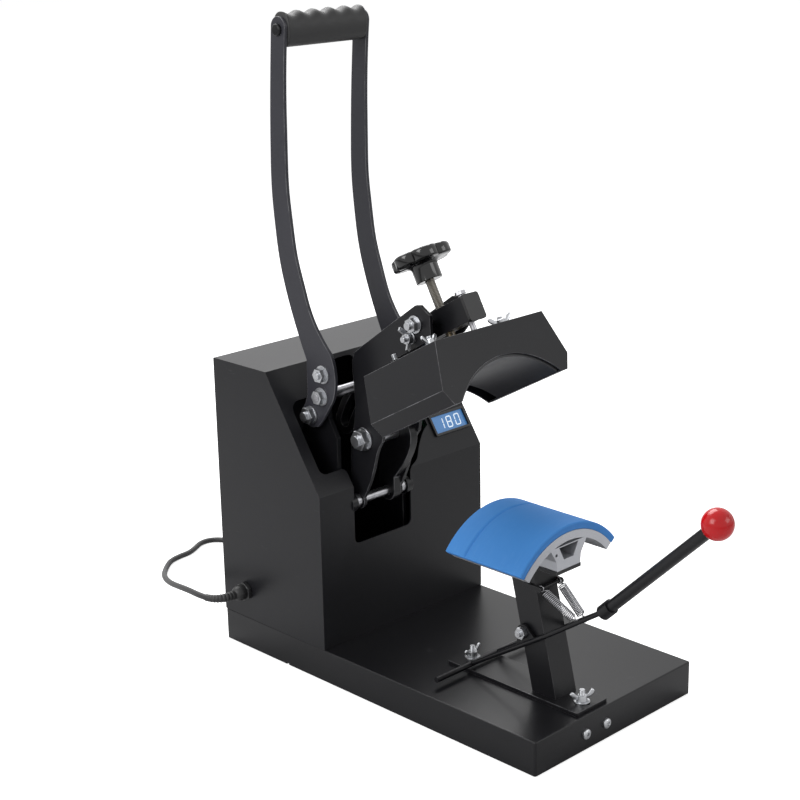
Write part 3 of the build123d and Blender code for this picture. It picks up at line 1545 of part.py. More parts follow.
key_names = ("key_down", "key_set", "key_up")
for name, place in zip(key_names, key_places):
    with BuildPart() as key:
        with BuildSketch(slope_plane.offset(1.8)):
            with Locations(place):
                Circle(key_radius)
        extrude(amount=-(1.8 + board_depth - 3.4 - key_travel - 0.05))
        rims = key.edges().filter_by(GeomType.CIRCLE)
        fillet(rims.sort_by(Axis(slope_plane.origin, slope_plane.z_dir))[-1], 0.8)
        with BuildSketch(slope_plane.offset(-housing_wall - 0.05)):
            with Locations(place):
                Circle(key_radius + 1.4)
        extrude(amount=-1.2)
    key.part.label = name
    export_step(key.part, "parts/" + name + ".step")

# ---------------------------------------------------------------- electrics
switch_plane = Plane((switch_x, back(housing_back), switch_z), x_dir=(-1, 0, 0), z_dir=(0, 1, 0))
with BuildPart() as power_switch:
    with BuildSketch(switch_plane):
        Rectangle(switch_width + 4, switch_height + 4)
    extrude(amount=2)
    with BuildSketch(switch_plane):
        Rectangle(switch_width - 0.4, switch_height - 0.4)
    extrude(amount=-18)
    with BuildSketch(switch_plane.offset(2)):
        Rectangle(14, 23)
    extrude(amount=-14, mode=Mode.SUBTRACT)
    with BuildSketch(Plane.YZ.offset(switch_x - 8)):
        with Locations((back(housing_back) - 3, switch_z)):
            Circle(1.5)
    extrude(amount=16)
power_switch.part.label = "power_switch"
export_step(power_switch.part, "parts/power_switch.step")

switch_throw = 9.0
with BuildPart() as switch_rocker:
    with BuildSketch(Plane.YZ.offset(switch_x - 6.7)):
        with Locations((back(housing_back) - 3, switch_z)):
            Polygon(
                (-4, -8),
                (4, -10.2),
                (8.5, -9.8),
                (6, 0),
                (8.5, 9.8),
                (4, 10.2),
                (-4, 8),
                rotation=-switch_throw,
                align=None,
            )
            Circle(1.55, mode=Mode.SUBTRACT)
    extrude(amount=13.4)
switch_rocker.part.label = "switch_rocker"
export_step(switch_rocker.part, "parts/switch_rocker.step")

fuse_plane = Plane((fuse_x, back(housing_back), switch_z), x_dir=(-1, 0, 0), z_dir=(0, 1, 0))
relay_x = base_width / 2 - 40.0
relay_d = 360.0
terminal_d = plate_back_y - 22.0
with BuildPart() as mains_modules:
    # fuse holder through the back cover
    with BuildSketch(fuse_plane):
        Circle(8.5)
    extrude(amount=2)
    with BuildSketch(fuse_plane.offset(2)):
        Circle(6.2)
    extrude(amount=fuse_out - 2)
    with BuildSketch(fuse_plane):
        Circle(fuse_radius - 0.1)
    extrude(amount=-26)
    # heater relay on the tray
    with BuildSketch(Plane.XY.offset(base_height)):
        with Locations((relay_x, back(relay_d))):
            Rectangle(44, 58)
    extrude(amount=26)
    with Locations((relay_x, back(relay_d), base_height + 26)):
        with GridLocations(26, 44, 2, 2):
            Cylinder(4, 2.5, align=(Align.CENTER, Align.CENTER, Align.MIN))
    # terminal block between the frame plates
    with BuildSketch(Plane.XY.offset(base_height)):
        with Locations((mid_x, back(terminal_d))):
            Rectangle(46, 14)
    extrude(amount=16)
    with Locations((mid_x, back(terminal_d), base_height + 16)):
        with GridLocations(14, 1, 3, 1):
            Cylinder(2.6, 1.5, align=(Align.CENTER, Align.CENTER, Align.MIN))
mains_modules.part.label = "mains_modules"
export_step(mains_modules.part, "parts/mains_modules.step")

# ---------------------------------------------------------------- mains lead
gland_face = Plane((-base_width / 2, back(gland_y), gland_z), x_dir=(0, -1, 0), z_dir=(-1, 0, 0))
gland_length = 17.0
with BuildPart() as cable_gland:
    with BuildSketch(gland_face):
        RegularPolygon(hexagon(19), 6)
    extrude(amount=5)
    with BuildSketch(gland_face.offset(5)):
        Circle(8.6)
    extrude(amount=6)
    with BuildSketch(gland_face.offset(11)):
        Circle(8.2)
    with BuildSketch(gland_face.offset(gland_length)):
        Circle(4.8)
    loft()
    with BuildSketch(gland_face):
        Circle(6)
    extrude(amount=-10)
    with BuildSketch(gland_face.offset(-housing_wall)):
        RegularPolygon(hexagon(18), 6)
    extrude(amount=-5)
cable_gland.part.label = "cable_gland"
export_step(cable_gland.part, "parts/cable_gland.step")

cord_ring = coil_turn_radius + cord_radius  # centre of the coil's outer turns
coil_x = cord_land_x + cord_ring
coil_y = back(coil_behind)
stub = 27.0
left_side = -base_width / 2
cord_route = [
    (left_side - gland_length, gland_y, gland_z),
    (left_side - gland_length - 7.5, gland_y, gland_z),
    (left_side - 31.6, gland_y + 2.9, gland_z - 0.3),
    (left_side - 37.0, gland_y + 8.2, gland_z - 0.6),
    (left_side - 40.0, gland_y + 15.2, gland_z - 0.9),
    (left_side - 40.6, gland_y + 23.0, gland_z - 1.4),
    (left_side - 39.4, gland_y + 35.0, gland_z - 2.7),
    (left_side - 35.8, gland_y + 50.0, gland_z - 5.0),
    (left_side - 30.0, gland_y + 69.0, gland_z - 9.1),
    (left_side - 21.5, gland_y + 93.0, gland_z - 15.7),
    (left_side - 8.5, gland_y + 125.0, gland_z - 25.4),
    (-109.0, 580.0, 31.0),
    (-84.0, 618.0, 18.4),
    (-63.0, 645.0, 8.2),
    (-46.5, 664.0, cord_radius + 0.15),
    (-31.0, 676.5, cord_radius + 0.15),
    (-14.0, 680.5, cord_radius + 0.15),
    (2.0, 681.0, cord_radius + 0.15),
    (17.0, 688.0, cord_radius + 0.15),
    (32.0, 697.0, cord_radius + 0.15),
    (46.5, 696.5, cord_radius + 0.15),
    (57.5, 687.0, cord_radius + 0.15),
    (cord_land_x, 672.0, cord_radius + 0.15),
    (cord_land_x, coil_behind + stub, cord_radius + 0.15),
]
route = [Vector(x, back(d), z) for x, d, z in cord_route]
cord_radii = []
for a, b, c in zip(route, route[1:], route[2:]):
    turn = radians((b - a).get_angle(c - b))
    shorter = min((b - a).length, (c - b).length)
    cord_radii.append(0.45 * shorter / tan(turn / 2))
print("cord radii", [round(r, 1) for r in cord_radii])
print("cord runs", [round((b - a).length, 1) for a, b in zip(route, route[1:])])
with BuildPart() as power_cord:
    with BuildLine() as cord_line:
        FilletPolyline(*route, radius=cord_radii)
    with BuildSketch(Plane(route[0], z_dir=cord_line.line % 0)):
        Circle(cord_radius)
    sweep(path=cord_line.line)
power_cord.part.label = "power_cord"
export_step(power_cord.part, "parts/power_cord.step")
cord_length = sum(edge.length for edge in cord_line.edges())
print("cord length", round(cord_length, 1), "volume", round(power_cord.part.volume))
print("section times length", round(cord_length * pi * cord_radius**2))

# the rest of the lead in a coil, three turns high and two wide
coil_low = 0.15
turn_height = 2 * cord_radius
coil_height = 3 * turn_height
plug_start = (coil_x + cord_ring, coil_y + stub, coil_low + 1.5 * turn_height)
with BuildPart() as cord_coil:
    with BuildSketch(Plane.XY.offset(coil_low)):
        with Locations((coil_x, coil_y)):
            Circle(cord_ring + cord_radius)
            Circle(cord_ring - 3 * cord_radius, mode=Mode.SUBTRACT)
    extrude(amount=coil_height)
    # lead-in at the bottom, lead-out one turn higher
    with BuildSketch(Plane((coil_x - cord_ring, coil_y + stub, coil_low + cord_radius), z_dir=(0, -1, 0))):
        Circle(cord_radius)
    extrude(amount=stub + 1)
    with BuildSketch(Plane(plug_start, z_dir=(0, -1, 0))):
        Circle(cord_radius)
    extrude(amount=stub + 1)
cord_coil.part.label = "cord_coil"
export_step(cord_coil.part, "parts/cord_coil.step")

plug_plane = Plane(plug_start, x_dir=(1, 0, 0), z_dir=(0, 1, 0))
plug_half = 1.5 * turn_height
with BuildPart() as power_plug:
    with BuildSketch(plug_plane):
        Circle(5.0)
    with BuildSketch(plug_plane.offset(12)):
        Circle(6.5)
    loft()
    with BuildSketch(plug_plane.offset(12)):
        RectangleRounded(30, 2 * plug_half - 0.3, 6)
    extrude(amount=26)
    with BuildSketch(plug_plane.offset(38)):
        with GridLocations(19, 1, 2, 1):
            Circle(2.2)
    extrude(amount=18)
power_plug.part.label = "power_plug"
export_step(power_plug.part, "parts/power_plug.step")
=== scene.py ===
import json
from math import atan2, cos, exp, pi, radians, sin, sqrt

import bmesh
import bpy
from mathutils import Matrix, Quaternion, Vector


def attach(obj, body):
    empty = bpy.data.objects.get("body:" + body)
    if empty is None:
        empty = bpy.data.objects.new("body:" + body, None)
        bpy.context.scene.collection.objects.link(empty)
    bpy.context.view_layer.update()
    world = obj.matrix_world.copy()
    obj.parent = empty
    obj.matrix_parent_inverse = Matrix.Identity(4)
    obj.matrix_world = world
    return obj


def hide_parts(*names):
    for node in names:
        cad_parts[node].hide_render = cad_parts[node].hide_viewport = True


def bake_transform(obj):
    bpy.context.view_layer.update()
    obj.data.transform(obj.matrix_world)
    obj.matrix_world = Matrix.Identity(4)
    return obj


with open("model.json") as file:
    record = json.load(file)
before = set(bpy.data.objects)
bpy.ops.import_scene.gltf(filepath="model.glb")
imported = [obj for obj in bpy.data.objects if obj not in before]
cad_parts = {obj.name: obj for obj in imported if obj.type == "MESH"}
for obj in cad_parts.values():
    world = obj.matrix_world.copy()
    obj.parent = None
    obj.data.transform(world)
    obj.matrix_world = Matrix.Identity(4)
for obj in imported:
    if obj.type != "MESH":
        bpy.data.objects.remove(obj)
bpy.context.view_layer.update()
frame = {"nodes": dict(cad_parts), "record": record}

# Dressing of the cap heat press. Sizes are in millimetres, and to_metres or mm makes them metres.
# A machine point is (x, distance behind the tray's front face, height above the table).
mm = 0.001
tray_front = -157.35
mid_x = -31.0
both_sides = (-1, 1)
square = ((-1, -1), (1, -1), (1, 1), (-1, 1))
head_tilt = radians(28.8)
head_top_front = (mid_x, 137.5, 397.4)
slope_rise = atan2(325.0 - 206.0, 370.0 - 292.0)
slope_foot = (0.0, 292.0, 206.0)
housing_back = 455.0

record = frame["record"]
slot_of = {row["node"]: row["material_slot"] for row in record["subparts"]}
body_of = {node: body for body, nodes in record["behaviour"]["bodies"].items() for node in nodes}


def to_metres(x, d, z):
    """A machine point in the row frame."""
    return Vector((x, tray_front + d, z)) * mm


def frame_at(origin, x_axis, z_axis):
    """The matrix of a place whose X and Z directions are given."""
    z = Vector(z_axis).normalized()
    x = (Vector(x_axis) - z * Vector(x_axis).dot(z)).normalized()
    y = z.cross(x)
    turn = Matrix((x, y, z)).transposed().to_4x4()
    return Matrix.Translation(origin) @ turn


head_up = Vector((0.0, sin(head_tilt), cos(head_tilt)))
head_place = frame_at(to_metres(*head_top_front), (1, 0, 0), head_up)
slope_out = Vector((0.0, -sin(slope_rise), cos(slope_rise)))
slope_place = frame_at(to_metres(*slope_foot), (1, 0, 0), slope_out)


def head_spot(x, y, w):
    """A place in the head's own frame: X right, Y back, W up from the cover's top."""
    return head_place @ Matrix.Translation(Vector((x, y, w)) * mm)


def side_place(x, d, z, side):
    """A place on a vertical side face, its Z pointing away from the middle."""
    return frame_at(to_metres(x, d, z), (0, 0, 1), (side, 0, 0))


def upright(x, d, z, flip=False):
    """A place whose Z points up, or down when flipped."""
    return frame_at(to_metres(x, d, z), (1, 0, 0), (0, 0, -1 if flip else 1))


def upright_pairs(middle, half, rows, z, flip=False):
    """Upright places on both sides of a middle line, in rows."""
    return [upright(middle + side * half, d, z, flip) for side in both_sides for d in rows]


def set_up(thing, **values):
    """The thing with these of its properties set."""
    for key, value in values.items():
        setattr(thing, key, value)
    return thing


def placed(name, data, **values):
    """A new object in the scene."""
    thing = bpy.data.objects.new(name, data)
    bpy.context.scene.collection.objects.link(thing)
    return set_up(thing, **values)


# ---------------------------------------------------------------- camera
optics = dict(lens=78.07, sensor_width=36.0, sensor_height=36.0, clip_start=0.05, clip_end=30.0)
camera_data = set_up(bpy.data.cameras.new("bench_view"), **optics)
eye = Vector((-1.2159, -1.11375, 0.8171))
aim = Vector((0.0, 0.13765, 0.2830))
roll = Quaternion((0, 0, 1), radians(-1.145))
turn = (aim - eye).to_track_quat("-Z", "Y") @ roll
stance = dict(location=eye, rotation_mode="QUATERNION", rotation_quaternion=turn)
bpy.context.scene.camera = placed("bench_view", camera_data, **stance)


# ---------------------------------------------------------------- finishes
class Wire:
    """A shader value that takes part in sums and products."""

    def __init__(self, bench, socket):
        self.bench = bench
        self.socket = socket

    def combine(self, operation, first, second):
        return self.bench.part("ShaderNodeMath", {"operation": operation}, {0: first, 1: second})

    def __add__(self, other):
        return self.combine("ADD", self, other)

    def __radd__(self, other):
        return self.combine("ADD", other, self)

    def __sub__(self, other):
        return self.combine("SUBTRACT", self, other)

    def __rsub__(self, other):
        return self.combine("SUBTRACT", other, self)

    def __mul__(self, other):
        return self.combine("MULTIPLY", self, other)

    def __truediv__(self, other):
        return self.combine("DIVIDE", self, other)

    def most(self, other):
        return self.combine("MAXIMUM", self, other)

    def least(self, other):
        return self.combine("MINIMUM", self, other)

    def between(self, low, high):
        """0 below low, 1 above high, and a smooth rise from one to the other."""
        return self.bench.part(
            "ShaderNodeMapRange",
            {"interpolation_type": "SMOOTHSTEP"},
            {"Value": self, "From Min": low, "From Max": high},
        )


class Bench:
    """A node tree that is filled from Python expressions."""

    def part(self, kind, settings=None, values=None, out=0):
        """Adds a node with its settings and the values or links of its sockets."""
        node = set_up(self.tree.nodes.new(kind), **(settings or {}))
        for key, value in (values or {}).items():
            socket = node.inputs[key] if isinstance(key, int) else self.find(node.inputs, key)
            if isinstance(value, (list, tuple)) and any(isinstance(v, Wire) for v in value):
                for wire in value:
                    self.tree.links.new(wire.socket, socket)
            elif isinstance(value, Wire):
                self.tree.links.new(value.socket, socket)
            elif socket.type == "RGBA" and len(value) == 3:
                socket.default_value = (*value, 1.0)
            else:
                socket.default_value = value
        if not node.outputs:
            return None
        return Wire(self, node.outputs[out] if isinstance(out, int) else self.find(node.outputs, out))

    @staticmethod
    def find(sockets, name):
        for socket in sockets:
            if socket.identifier == name or (socket.name == name and socket.enabled):
                return socket
        raise KeyError(name)


class Finish(Bench):
    """The node tree of one material."""

    def __init__(self, name):
        self.material = bpy.data.materials.new(name)
        self.material.use_nodes = True
        self.tree = self.material.node_tree
        self.tree.nodes.clear()

    def place(self, scale=(1.0, 1.0, 1.0), turn=(0.0, 0.0, 0.0)):
        """Object coordinates in metres, turned and stretched."""
        seen = self.part("ShaderNodeTexCoord", out="Object")
        return self.part("ShaderNodeMapping", None, {"Vector": seen, "Rotation": turn, "Scale": scale})

    def noise(self, where, scale, detail=2.0, roughness=0.5):
        values = {"Vector": where, "Scale": scale, "Detail": detail, "Roughness": roughness}
        return self.part("ShaderNodeTexNoise", None, values, "Fac")

    def attribute(self, name):
        return self.part("ShaderNodeAttribute", {"attribute_name": name}, None, "Fac")

    def mix(self, share, first, second):
        """Colours from first to second as share goes from 0 to 1."""
        return self.part(
            "ShaderNodeMix",
            {"data_type": "RGBA"},
            {"Factor_Float": share, "A_Color": first, "B_Color": second},
            "Result_Color",
        )

    def bump(self, height, depth, strength=1.0, under=None):
        values = {"Height": height, "Distance": depth, "Strength": strength}
        if under is not None:
            values["Normal"] = under
        return self.part("ShaderNodeBump", None, values)

    def close(self, **values):
        """The surface, from Principled socket names with their spaces as underscores."""
        named = {key.replace("_", " "): value for key, value in values.items()}
        shader = self.part("ShaderNodeBsdfPrincipled", None, named)
        self.part("ShaderNodeOutputMaterial", None, {"Surface": shader})
        return self.material


def grey(value, blue=1.0):
    return (value, value, value * blue)


def powder_coat(name, body, edge_wear_highlight_grey, gloss, shine):
    """Satin powder coat: orange peel, faint cloudiness, edges lightened by wear and by a painted highlight,
    and a little dust.
    """
    coat = Finish(name)
    where = coat.place()
    cloud = coat.noise(where, 9.0, 3.0, 0.6)
    speck = coat.noise(where, 1400.0, 1.0)
    peel = coat.noise(where, 620.0, 2.0, 0.45)
    # the bevelled edges are painted lighter: partly rubbed wear, partly a painted highlight where light
    # catches them
    edge = coat.attribute("worn_and_lit_edge")
    wear_and_highlight = edge * (coat.noise(where, 60.0, 4.0, 0.65).between(0.36, 0.6) * 0.8 + 0.2)
    scuff = coat.noise(coat.place((1.0, 1.0, 5.0), (0.3, 0.5, 0.2)), 46.0, 5.0, 0.7).between(0.63, 0.8)
    blue = 1.22
    base = coat.mix(cloud, grey(body * 0.88, blue), grey(body * 1.14, blue))
    base = coat.mix(speck.between(0.56, 0.8) * 0.25, base, grey(body * 1.8, blue))
    base = coat.mix((wear_and_highlight * 0.85 + scuff * 0.1).least(1.0), base, grey(edge_wear_highlight_grey, 1.06))
    return coat.close(
        Base_Color=base,
        Roughness=gloss + cloud * 0.09 + scuff * 0.07 - wear_and_highlight * 0.05,
        Specular_IOR_Level=shine,
        Normal=coat.bump(peel, 0.00006, 0.6, coat.bump(speck, 0.00002, 0.4)),
    )


def plated_steel(name, colour, rough):
    """Zinc plate or ground steel with fine grain and a few dull patches."""
    metal = Finish(name)
    where = metal.place()
    fine = metal.noise(where, 1800.0, 2.0, 0.6)
    dull = metal.noise(where, 120.0, 3.0, 0.6).between(0.5, 0.75)
    shade = metal.mix(dull, colour, tuple(c * 0.72 for c in colour))
    shade = metal.mix(fine * 0.25, shade, tuple(c * 0.6 for c in colour))
    return metal.close(
        Base_Color=shade,
        Metallic=1.0,
        Roughness=rough + dull * 0.14 + fine * 0.08,
        Normal=metal.bump(fine, 0.00002, 0.35),
    )


def moulded(name, colour, rough, grain_scale=900.0, grain_depth=0.00003, coat=0.0, spread=0.1):
    """Moulded plastic or rubber with a fine surface grain."""
    plastic = Finish(name)
    where = plastic.place()
    grain = plastic.noise(where, grain_scale, 2.0, 0.5)
    cloud = plastic.noise(where, 22.0, 3.0, 0.6)
    # eased edges are painted lighter: partly wear, partly a painted highlight
    wear_and_highlight = plastic.attribute("worn_and_lit_edge") * plastic.noise(where, 90.0, 3.0).between(0.4, 0.7)
    shade = plastic.mix(cloud, tuple(c * 0.9 for c in colour), tuple(c * 1.12 for c in colour))
    shade = plastic.mix(wear_and_highlight * 0.3, shade, tuple(min(1.0, c * 1.7 + 0.01) for c in colour))
    return plastic.close(
        Base_Color=shade,
        Roughness=rough + cloud * spread,
        Coat_Weight=coat,
        Coat_Roughness=0.06,
        Normal=plastic.bump(grain, grain_depth, 0.5),
    )


def pad_silicone():
    """Blue silicone sponge: a fine woven press mark, chalky dust and darker blue side faces."""
    pad = Finish("blue_silicone_pad")
    where = pad.place()
    skin = pad.noise(where, 34.0, 5.0, 0.62)
    pores = pad.noise(where, 950.0, 2.0, 0.6)
    streak = pad.noise(pad.place((1.0, 7.0, 1.0)), 60.0, 4.0, 0.65)
    shade = pad.mix(skin, (0.05, 0.235, 0.62), (0.066, 0.275, 0.69))
    shade = pad.mix(streak.between(0.5, 0.8) * 0.28, shade, (0.115, 0.325, 0.70))
    # the side faces are a darker blue
    shade = pad.mix(pad.attribute("pad_side_face") * 0.45, shade, (0.03, 0.17, 0.50))
    shade = pad.mix(pores.between(0.55, 0.8) * 0.18, shade, (0.035, 0.16, 0.45))
    return pad.close(
        Base_Color=shade,
        Roughness=0.62 + skin * 0.16,
        Specular_IOR_Level=0.35,
        Normal=pad.bump(pores * 0.6 + skin * 0.4, 0.00012, 0.45),
    )


def extruded_aluminium():
    """Mill-finish extrusion: lines along its length, dull oxide in between."""
    metal = Finish("extruded_aluminium")
    lines = metal.noise(metal.place((1.0, 0.03, 1.0)), 900.0, 3.0, 0.6)
    cloud = metal.noise(metal.place(), 48.0, 4.0, 0.6)
    shade = metal.mix(cloud, (0.44, 0.45, 0.48), (0.56, 0.57, 0.6))
    shade = metal.mix(lines * 0.35, shade, (0.33, 0.34, 0.37))
    return metal.close(
        Base_Color=shade,
        Metallic=0.75,
        Roughness=0.42 + cloud * 0.16,
        Normal=metal.bump(lines, 0.00004, 0.4),
    )


def coated_platen():
    """Dark non-stick coating on the machined heating plate."""
    coat = Finish("coated_aluminium")
    where = coat.place()
    cloud = coat.noise(where, 30.0, 4.0, 0.6)
    fine = coat.noise(where, 1300.0, 2.0, 0.6)
    turned = coat.noise(coat.place((1.0, 0.08, 1.0)), 420.0, 3.0, 0.6)
    shade = coat.mix(cloud, (0.022, 0.022, 0.024), (0.038, 0.038, 0.041))
    shade = coat.mix(turned * 0.3, shade, (0.06, 0.06, 0.065))
    return coat.close(
        Base_Color=shade,
        Metallic=0.35,
        Roughness=0.34 + cloud * 0.14,
        Normal=coat.bump(fine * 0.5 + turned * 0.5, 0.00004, 0.5),
    )


def ball_lacquer():
    """Glossy red phenolic ball with faint moulding waves."""
    ball = Finish("red_phenolic_ball")
    where = ball.place()
    cloud = ball.noise(where, 30.0, 2.0)
    specks = ball.noise(where, 700.0, 1.0).between(0.7, 0.8)
    shade = ball.mix(cloud, (0.49, 0.002, 0.005), (0.58, 0.004, 0.008))
    shade = ball.mix(specks * 0.25, shade, (0.4, 0.004, 0.008))
    return ball.close(
        Base_Color=shade,
        Roughness=0.16 + cloud * 0.05,
        Specular_IOR_Level=0.4,
        Normal=ball.bump(cloud, 0.0002, 0.15),
    )


def display_glass():
    """Backlit blue window: brighter in patches, with the fine grid of its cells."""
    glass = Finish("lcd_window")
    where = glass.place()
    cells = glass.noise(where, 1500.0, 1.0)
    glow = glass.noise(where, 25.0, 2.0)
    shade = glass.mix(glow, (0.06, 0.21, 0.50), (0.10, 0.29, 0.62))
    shade = glass.mix(cells * 0.2, shade, (0.04, 0.15, 0.4))
    return glass.close(
        Base_Color=shade,
        Roughness=0.12 + glow * 0.05,
        Emission_Color=shade,
        Emission_Strength=0.35,
        Coat_Weight=0.5,
        Coat_Roughness=0.03,
    )


def lit_digits():
    """The pale glowing strokes of the display."""
    digits = Finish("lit_digits")
    glow = digits.noise(digits.place(), 300.0, 2.0)
    shade = digits.mix(glow, (0.72, 0.84, 0.95), (0.86, 0.94, 1.0))
    return digits.close(Base_Color=shade, Roughness=0.4, Emission_Color=shade, Emission_Strength=0.55)


def pressed_fibre(name, low, high):
    """Ceramic wool or mica sheet: layered fibres and flakes."""
    fibre = Finish(name)
    flakes = fibre.noise(fibre.place((1.0, 1.0, 3.0)), 240.0, 5.0, 0.7)
    hairs = fibre.noise(fibre.place((6.0, 1.0, 1.0), (0.2, 0.4, 0.9)), 320.0, 3.0, 0.6)
    return fibre.close(
        Base_Color=fibre.mix(flakes * 0.7 + hairs * 0.3, low, high),
        Roughness=0.8 + flakes * 0.1,
        Normal=fibre.bump(flakes + hairs, 0.0003, 0.6),
    )


def circuit_board():
    """Green board with faint tracks."""
    board = Finish("board_green")
    tracks = board.noise(board.place((1.0, 4.0, 4.0)), 260.0, 1.0).between(0.5, 0.53)
    cloud = board.noise(board.place(), 60.0, 2.0)
    shade = board.mix(cloud, (0.014, 0.085, 0.035), (0.022, 0.12, 0.05))
    shade = board.mix(tracks * 0.5, shade, (0.05, 0.19, 0.08))
    relief = board.bump(tracks, 0.00004, 0.4)
    return board.close(Base_Color=shade, Roughness=0.35 + cloud * 0.1, Normal=relief)


finishes = {
    "black_powder_coat": powder_coat("black_powder_coat", 0.0065, 0.15, 0.27, 0.3),
    "charcoal_powder_coat": powder_coat("charcoal_powder_coat", 0.0085, 0.19, 0.31, 0.26),
    # the handle's coat is the charcoal coat made about four times lighter: painted light on the handle bars
    "lit_handle_coat": powder_coat("lit_handle_coat", 0.034, 0.2, 0.34, 0.32),
    "zinc_fastener": plated_steel("zinc_fastener", (0.52, 0.53, 0.55), 0.25),
    "bright_steel": plated_steel("bright_steel", (0.42, 0.42, 0.44), 0.24),
    "dark_steel": plated_steel("dark_steel", (0.36, 0.34, 0.31), 0.3),
    "extruded_aluminium": extruded_aluminium(),
    "coated_aluminium": coated_platen(),
    "blue_silicone": pad_silicone(),
    "black_rubber": moulded("black_rubber", grey(0.018), 0.62),
    "grip_rubber": moulded("grip_rubber", grey(0.012, 1.05), 0.5, 700.0, 0.00006),
    "red_ball": ball_lacquer(),
    "black_knob": moulded("black_knob", grey(0.003, 1.05), 0.1, 500.0, 0.00001, coat=0.15, spread=0.05),
    "black_plastic": moulded("black_plastic", grey(0.014, 1.05), 0.42),
    "lcd_glass": display_glass(),
    "board_green": circuit_board(),
    "key_grey": moulded("key_grey", (0.19, 0.19, 0.2), 0.45),
    "mica": pressed_fibre("mica", (0.42, 0.33, 0.2), (0.6, 0.52, 0.38)),
    "ceramic_wool": pressed_fibre("ceramic_wool", (0.62, 0.6, 0.54), (0.82, 0.8, 0.74)),
    "cord_sheath": moulded("cord_sheath", grey(0.016, 1.05), 0.46, 1100.0, 0.00003),
    "brass_bearing": plated_steel("brass_bearing", (0.62, 0.45, 0.17), 0.28),
}
digit_finish = lit_digits()
for node, thing in frame["nodes"].items():
    thing.data.materials.clear()
    thing.data.materials.append(finishes[slot_of[node]])


# ---------------------------------------------------------------- making pieces
def new_piece(name, mesh, node, finish=None):
    """A finished piece that moves with a node's body and has its slot."""
    piece = placed(name, mesh)
    if not mesh.materials:
        mesh.materials.append(finish or finishes[slot_of[node]])
    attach(piece, body_of[node])
    return piece


def stand_in(name, mesh, node, finish=None):
    """A finished piece that is shown in the node's place."""
    piece = new_piece(name, mesh, node, finish)
    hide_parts(node)
    return piece


def mesh_from(name, verts, faces, smooth_below=35.0, round_all=True):
    """A closed mesh from lists, shaded smooth but for its sharp edges."""
    mesh = bpy.data.meshes.new(name)
    mesh.from_pydata(verts, [], faces)
    mesh.validate()
    if round_all:
        mesh.shade_smooth()
        mesh.set_sharp_from_angle(angle=radians(smooth_below))
    return mesh


def joined(name, meshes):
    """One mesh from several, keeping their finishes."""
    shape = bmesh.new()
    slots = []
    for mesh in meshes:
        start = len(shape.faces)
        shape.from_mesh(mesh)
        shape.faces.ensure_lookup_table()
        remap = []
        for material in mesh.materials:
            if material not in slots:
                slots.append(material)
            remap.append(slots.index(material))
        if remap:
            for face in shape.faces[start:]:
                face.material_index = remap[min(face.material_index, len(remap) - 1)]
    result = bpy.data.meshes.new(name)
    shape.to_mesh(result)
    shape.free()
    for material in slots:
        result.materials.append(material)
    return result


def evaluated(thing):
    """The plain mesh of an object with its modifiers done; the object is removed."""
    bpy.context.view_layer.update()
    graph = bpy.context.evaluated_depsgraph_get()
    mesh = bpy.data.meshes.new_from_object(thing.evaluated_get(graph), depsgraph=graph)
    bpy.data.objects.remove(thing)
    return mesh


def eased(node, width):
    """A copy of a CAD node whose edges are eased, with the new faces marked to be painted lighter: wear and a
    painted highlight.
    """
    finish = finishes[slot_of[node]]
    least_corner = radians(24.0)
    mesh = frame["nodes"][node].data.copy()
    shape = bmesh.new()
    shape.from_mesh(mesh)
    bmesh.ops.remove_doubles(shape, verts=shape.verts, dist=0.00001)
    bmesh.ops.dissolve_limit(
        shape, angle_limit=radians(0.6), verts=shape.verts, edges=shape.edges, delimit={"NORMAL"}
    )
    for face in shape.faces:
        face.smooth = True
    for edge in shape.edges:
        edge.smooth = len(edge.link_faces) != 2 or edge.calc_face_angle(0.0) < least_corner
    shape.to_mesh(mesh)
    shape.free()
    # two slots: the bevel gives its faces the second one, which marks them
    mesh.materials.clear()
    mesh.materials.append(finish)
    mesh.materials.append(finish)
    blank = placed(node + "_blank", mesh)
    set_up(
        blank.modifiers.new("ease", "BEVEL"),
        width=width * mm,
        segments=2,
        limit_method="ANGLE",
        angle_limit=least_corner,
        harden_normals=True,
        material=1,
        use_clamp_overlap=True,
    )
    result = evaluated(blank)
    # the mark lightens these faces in the finishes: edge wear and a painted highlight
    mark = result.attributes.new("worn_and_lit_edge", "FLOAT", "FACE")
    for face in result.polygons:
        mark.data[face.index].value = float(face.material_index == 1)
        face.material_index = 0
    result.materials.clear()
    result.materials.append(finish)
    return result


